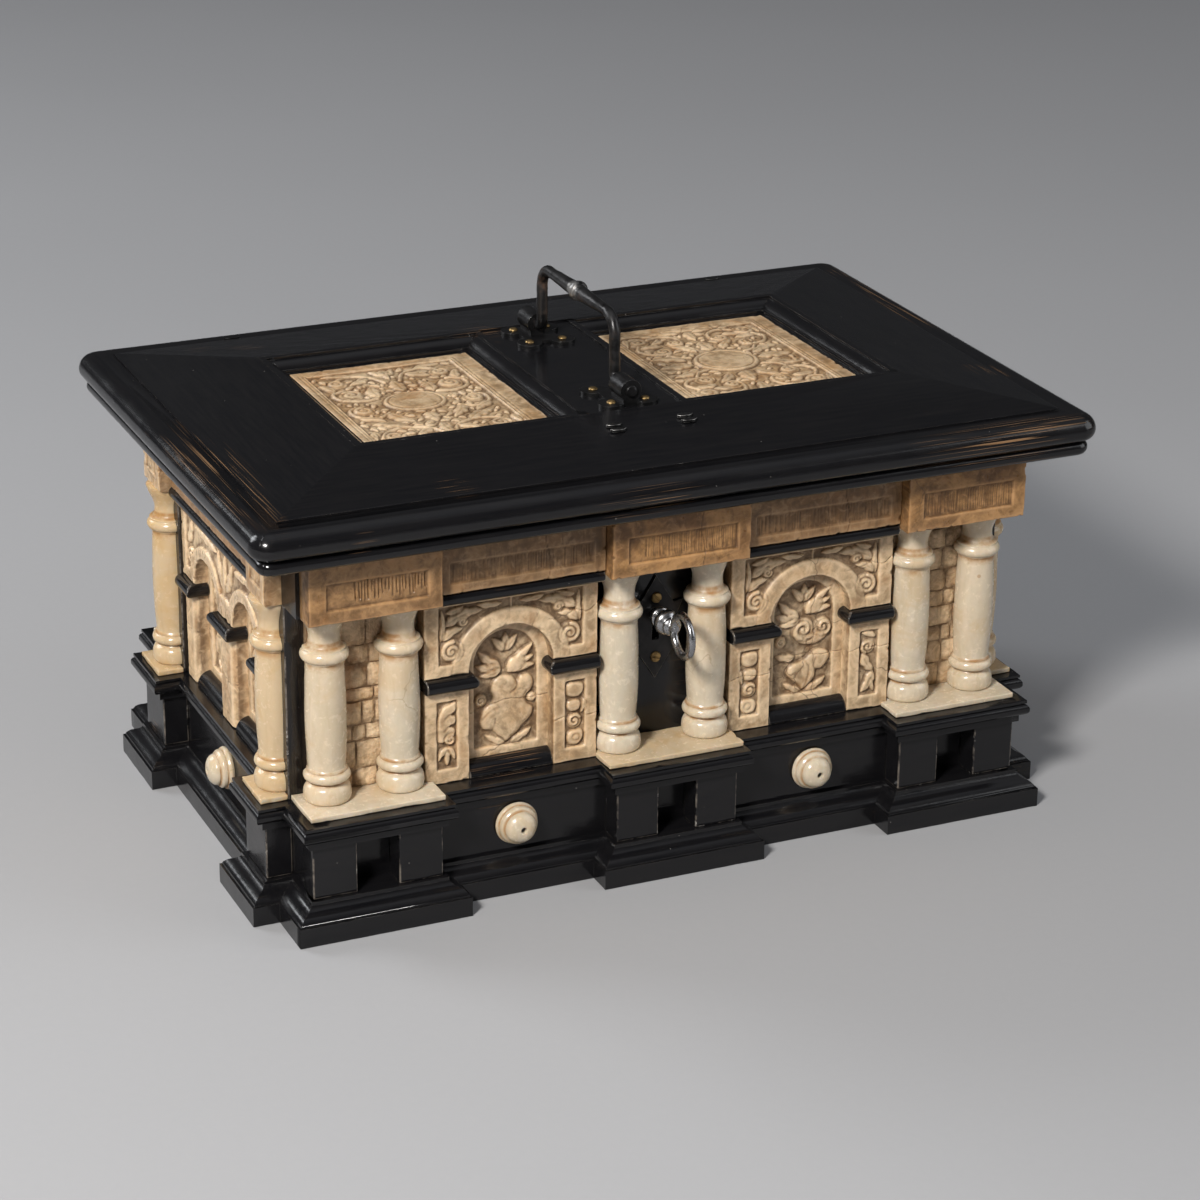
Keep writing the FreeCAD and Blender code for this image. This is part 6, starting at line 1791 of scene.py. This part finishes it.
class CASKET_OT_bosses(bpy.types.Operator):
    """Turns the ringed bosses of the plinth"""

    bl_idname = "casket.bosses"
    bl_label = "Bosses"

    def execute(self, context):
        settings = context.scene.casket_turning
        dome = [(6.7, 5.8), (6.25, 7.1), (5.0, 8.4), (3.3, 9.2), (1.7, 9.5)]
        corners = np.vstack([
            [(0.0, 0.0), (8.4, 0.0)], smooth_line([(8.6, 0.1), (9.1, 1.2), (8.7, 2.3)]),
            [(8.0, 2.6), (8.0, 2.8)], smooth_line([(8.25, 3.0), (8.05, 4.2), (7.3, 5.1)]),
            [(6.6, 5.3), (6.5, 5.5)], smooth_line(dome), [(1.25, 9.2), (1.2, 7.8), (0.0, 7.8)],
        ])
        outline = outline_object("boss_outline", corners, (2.7, 5.45), 0.42)
        places, leans = [], []
        for _, side, middle, _, (back, _), low_v, high_v in plates_of("dado_bosses"):
            places += placed(side, middle, back, (low_v + high_v) / 2).tolist()
            leans.append((math.pi / 2, 0.0, side * math.pi / 2))
        mesh = turned(
            turning_tree(), outline, places, leans, Segments=settings.boss_segments,
            Unevenness=settings.boss_wave, Wave_length=settings.wave_length * 0.5, Seed=9.0)
        plain_numbers(mesh, tone=0.12)
        outward(mesh)
        bpy.data.objects.remove(outline)
        slot = "cream_alabaster"
        add_piece("turned_dado_bosses", mesh, slot, ["dado_bosses"], crease=50.0)
        return {"FINISHED"}


class CASKET_OT_slabs(bpy.types.Operator):
    """Chips the thin slabs under the columns"""

    bl_idname = "casket.slabs"
    bl_label = "Column slabs"

    def execute(self, context):
        wear = context.scene.casket_wear
        mesh = worn_copy("column_slabs", wear.slab_edge, wear.span * 0.5, wear.dent * 3.0, seed=31)
        across, along = np.abs(points_of(mesh)[:, :2]).T
        in_centre, at_end = across < 60.0, along < 80.0
        plain_numbers(mesh, hollow=0.5)
        keep(mesh, "tone", np.where(in_centre, 0.70, np.where(at_end, 1.0, 0.12)))
        slot = "cream_alabaster"
        weigh_normals(add_piece("worn_column_slabs", mesh, slot, ["column_slabs"], crease=60.0))
        return {"FINISHED"}


class CASKET_OT_ironwork(bpy.types.Operator):
    """Files the edges of the iron plates, staples, hasps and lock"""

    bl_idname = "casket.ironwork"
    bl_label = "Ironwork"

    def execute(self, context):
        wear, slot = context.scene.casket_wear, "blackened_iron"
        for seed, node in enumerate(IRON):
            mesh = worn_copy(node, wear.iron_edge, wear.span * 0.6, wear.dent * 0.5, 50 + seed, sharp=40.0)
            weigh_normals(add_piece("filed_" + node, mesh, slot, [node], crease=45.0))
        return {"FINISHED"}


class CASKET_OT_bail(bpy.types.Operator):
    """Hammers the swinging handle"""

    bl_idname = "casket.bail"
    bl_label = "Handle"

    def execute(self, context):
        hammer, longest, foot, grip = context.scene.casket_wear.hammer, 0.0022, 0.196, 0.0045
        made = merged("handle_bail")
        for _ in range(2):
            long_edges = [e for e in made.edges if e.calc_length() > longest]
            bmesh.ops.subdivide_edges(made, edges=long_edges, cuts=3)
        bmesh.ops.triangulate(made, faces=[f for f in made.faces if len(f.verts) > 4])
        made.normal_update()
        layer = made.verts.layers.float.new("worn")
        moves = {}
        for vertex in made.verts:
            if vertex.co.z > foot:
                push = noise.noise(vertex.co * 170.0) + 0.5 * noise.noise(vertex.co * 480.0)
                moves[vertex] = vertex.normal * min(0.0, push - 0.2) * hammer
        for vertex, move in moves.items():
            vertex.co += move
            vertex[layer] = 0.05 if abs(vertex.co.y) > grip else 0.8
        mesh = freed(made, "handle_bail")
        add_piece("hammered_handle_bail", mesh, "rusted_iron", ["handle_bail"], crease=50.0)
        return {"FINISHED"}


def stud_object(name, rings, slot):
    """A headed stud pointing up, from rings of (radius, height) in millimetres; slot cuts its head."""
    count = 24 if slot is None else 48
    points, faces = [], []
    for radius, height in rings:
        for place in range(count):
            angle = 2.0 * math.pi * place / count
            x, y = radius * math.cos(angle), radius * math.sin(angle)
            cut = slot is not None and height > 0.3 and abs(y) < slot
            points.append((x / 1000.0, y / 1000.0, (height - 0.55 if cut else height) / 1000.0))
    last = (len(rings) - 1) * count
    for start in range(0, last, count):
        for place in range(count):
            here, after = start + place, start + (place + 1) % count
            faces.append((here, after, after + count, here + count))
    faces += [list(range(count))[::-1], list(range(last, last + count))]
    return bench_object(name, points, faces)


class CASKET_OT_studs(bpy.types.Operator):
    """Drives the brass nails of the handle plates and the slotted screws of the lock plate"""

    bl_idname = "casket.studs"
    bl_label = "Nails and screws"

    def execute(self, context):
        tree = driven_tree()
        random = np.random.default_rng(context.scene.casket_carving.seed)
        nail = [
            (0.25, -6.4), (0.85, -5.2), (0.85, 0.0), (1.85, 0.02), (1.9, 0.2), (1.7, 0.55), (1.2, 0.86),
            (0.55, 0.99), (0.2, 1.0),
        ]
        screw = [(0.4, -3.6), (1.15, -3.2), (1.15, 0.0), (2.25, 0.0), (2.3, 0.35), (2.2, 0.62)]
        screw += [(radius, 1.0 - 0.02 * radius) for radius in (2.0, 1.7, 1.4, 1.1, 0.8, 0.5, 0.3, 0.12)]
        groups = (("handle_nails", nail, None, 0.00022), ("lock_screws", screw, 0.34, 0.00006))
        for node, rings, slot, rough in groups:
            places, leans = [], []
            for low, high in solid_boxes(node):
                x, y, z = (low + high) / 2
                if node == "handle_nails":
                    places.append((x / 1000.0, y / 1000.0, (high[2] - 1.0) / 1000.0))
                    tilts = (random.uniform(-0.06, 0.06), random.uniform(-0.06, 0.06))
                    leans.append((*tilts, random.uniform(0, 6)))
                else:
                    places.append((x / 1000.0, (low[1] + 1.1) / 1000.0, z / 1000.0))
                    leans.append((math.pi / 2, random.uniform(0.3, 1.2), 0.0))
            stud = stud_object("one_" + node, rings, slot)
            mesh = run_tree(
                tree, point_mesh(node, places, leans), Stud=stud, Unevenness=rough, Seed=4.0,
                Finish=finishes()["worn_brass"])
            bpy.data.objects.remove(stud)
            outward(mesh)
            add_piece("driven_" + node, mesh, "worn_brass", [node], crease=42.0)
        return {"FINISHED"}


class CASKET_OT_key(bpy.types.Operator):
    """Polishes the key"""

    bl_idname = "casket.key"
    bl_label = "Key"

    def execute(self, context):
        edge = context.scene.casket_wear.key_edge
        mesh = worn_copy("key", edge, span=0.05, dent=0.0, seed=71, sharp=50.0)
        add_piece("polished_key", mesh, "bright_steel", ["key"], crease=42.0)
        return {"FINISHED"}


def area_lamp(name, place, size, watts, tint):
    """A square lamp that shines at the middle of the casket."""
    data = bpy.data.lights.new(name, "AREA")
    data.shape = "SQUARE"
    data.size = size
    data.energy = watts
    data.color = tint
    lamp = in_scene(name, data)
    lamp.location = place
    aim = Vector((0.0, 0.0, 0.09)) - Vector(place)
    lamp.rotation_euler = aim.to_track_quat("-Z", "Y").to_euler()


class CASKET_OT_stage(bpy.types.Operator):
    """Sets the floor, the light and the camera"""

    bl_idname = "casket.stage"
    bl_label = "Stage"

    def execute(self, context):
        scene, settings = context.scene, context.scene.casket_stage
        made, place, _ = new_finish("paper_floor")
        fibre, broad = clouds(place, 260.0, 6.0, 0.6), clouds(place, 2.2, 2.0)
        shade = mixed(ranged(broad, 0.3, 0.7), settings.floor, shaded(settings.floor, 0.97))
        shade = layered(shade, (fibre, 0.3, 0.7, 0.06, (0.3, 0.3, 0.31)))
        dress(
            made, Base_Color=shade, Normal=bumped(fibre, 0.08, 0.0006), Roughness=0.9,
            Specular_IOR_Level=0.15)
        half, warm, cool = settings.floor_half, (1.0, 0.975, 0.94), (0.95, 0.975, 1.0)
        corners = [(x, y, 0.0) for x, y in rectangle(-half, half, -half, half)]
        sheet = new_mesh("paper_floor", corners, [(0, 1, 2, 3)])
        sheet.materials.append(made)
        floor = in_scene("paper_floor", sheet)
        area_lamp("key_lamp", (-1.17, -1.06, 1.28), 0.36, settings.key, warm)
        area_lamp("fill_lamp", (1.75, -1.0, 1.0), 1.4, settings.fill, cool)
        area_lamp("rear_lamp", (-1.3, 1.4, 1.15), 0.9, settings.rear, cool)
        world = bpy.data.worlds.new("plain_room")
        world.use_nodes = True
        Bench.tree = world.node_tree
        height = wire("ShaderNodeSeparateXYZ", {0: wire("ShaderNodeTexCoord", out="Object")}, 2)
        glow = ranged(height, 0.7, 1.0, settings.sky, settings.ceiling)
        fill(Bench.tree.nodes["Background"], {"Color": (0.93, 0.95, 1.0, 1.0), "Strength": glow})
        scene.world = world
        data = bpy.data.cameras.new("photo_camera")
        data.sensor_width = 36.0
        data.lens = settings.lens
        data.clip_start = 0.05
        camera = in_scene("photo_camera", data)
        swing = Matrix.Rotation(settings.azimuth, 4, "Z")
        view = swing @ Matrix.Rotation(math.pi / 2 - settings.elevation, 4, "X")
        reach = view @ Vector((settings.across, -settings.down, settings.distance))
        stand = Matrix.Translation(reach + Vector((0.0, 0.0, settings.target)))
        camera.matrix_world = stand @ view @ Matrix.Rotation(settings.roll, 4, "Z")
        scene.camera = camera
        scene.view_settings.view_transform = "Standard"
        return {"FINISHED"}


class CASKET_PT_panel(bpy.types.Panel):
    """Lists the casket's builders and settings"""

    bl_idname = "CASKET_PT_panel"
    bl_label = "Casket"
    bl_space_type = "VIEW_3D"
    bl_region_type = "UI"
    bl_category = "Casket"

    def draw(self, context):
        for operator in OPERATORS:
            self.layout.operator(operator.bl_idname)
        for name, group in GROUPS.items():
            column = self.layout.column(heading=group.__doc__)
            settings = getattr(context.scene, name)
            for key in group.__annotations__:
                column.prop(settings, key)


GROUPS = {
    "casket_colours": CasketColours, "casket_carving": CasketCarving, "casket_turning": CasketTurning,
    "casket_masonry": CasketMasonry, "casket_wear": CasketWear, "casket_stage": CasketStage,
}
OPERATORS = (
    CASKET_OT_stage, CASKET_OT_woodwork, CASKET_OT_lid_panels, CASKET_OT_niches, CASKET_OT_arches,
    CASKET_OT_piers, CASKET_OT_blocks, CASKET_OT_masonry, CASKET_OT_columns, CASKET_OT_bosses,
    CASKET_OT_slabs, CASKET_OT_ironwork, CASKET_OT_bail, CASKET_OT_studs, CASKET_OT_key,
)
CLASSES = (*GROUPS.values(), *OPERATORS, CASKET_PT_panel)


def register():
    for item in CLASSES:
        bpy.utils.register_class(item)
    for name, group in GROUPS.items():
        setattr(bpy.types.Scene, name, PointerProperty(type=group))


def unregister():
    for name in GROUPS:
        delattr(bpy.types.Scene, name)
    for item in reversed(CLASSES):
        bpy.utils.unregister_class(item)


def main():
    """Builds every piece round the frame, and writes the two boxes."""
    register()
    for item in list(bpy.data.objects):
        if item.type in {"LIGHT", "CAMERA"} or item.name == "Cube":
            bpy.data.objects.remove(item)
    for operator in OPERATORS:
        group, name = operator.bl_idname.split(".")
        getattr(getattr(bpy.ops, group), name)()


if __name__ == "__main__":
    main()
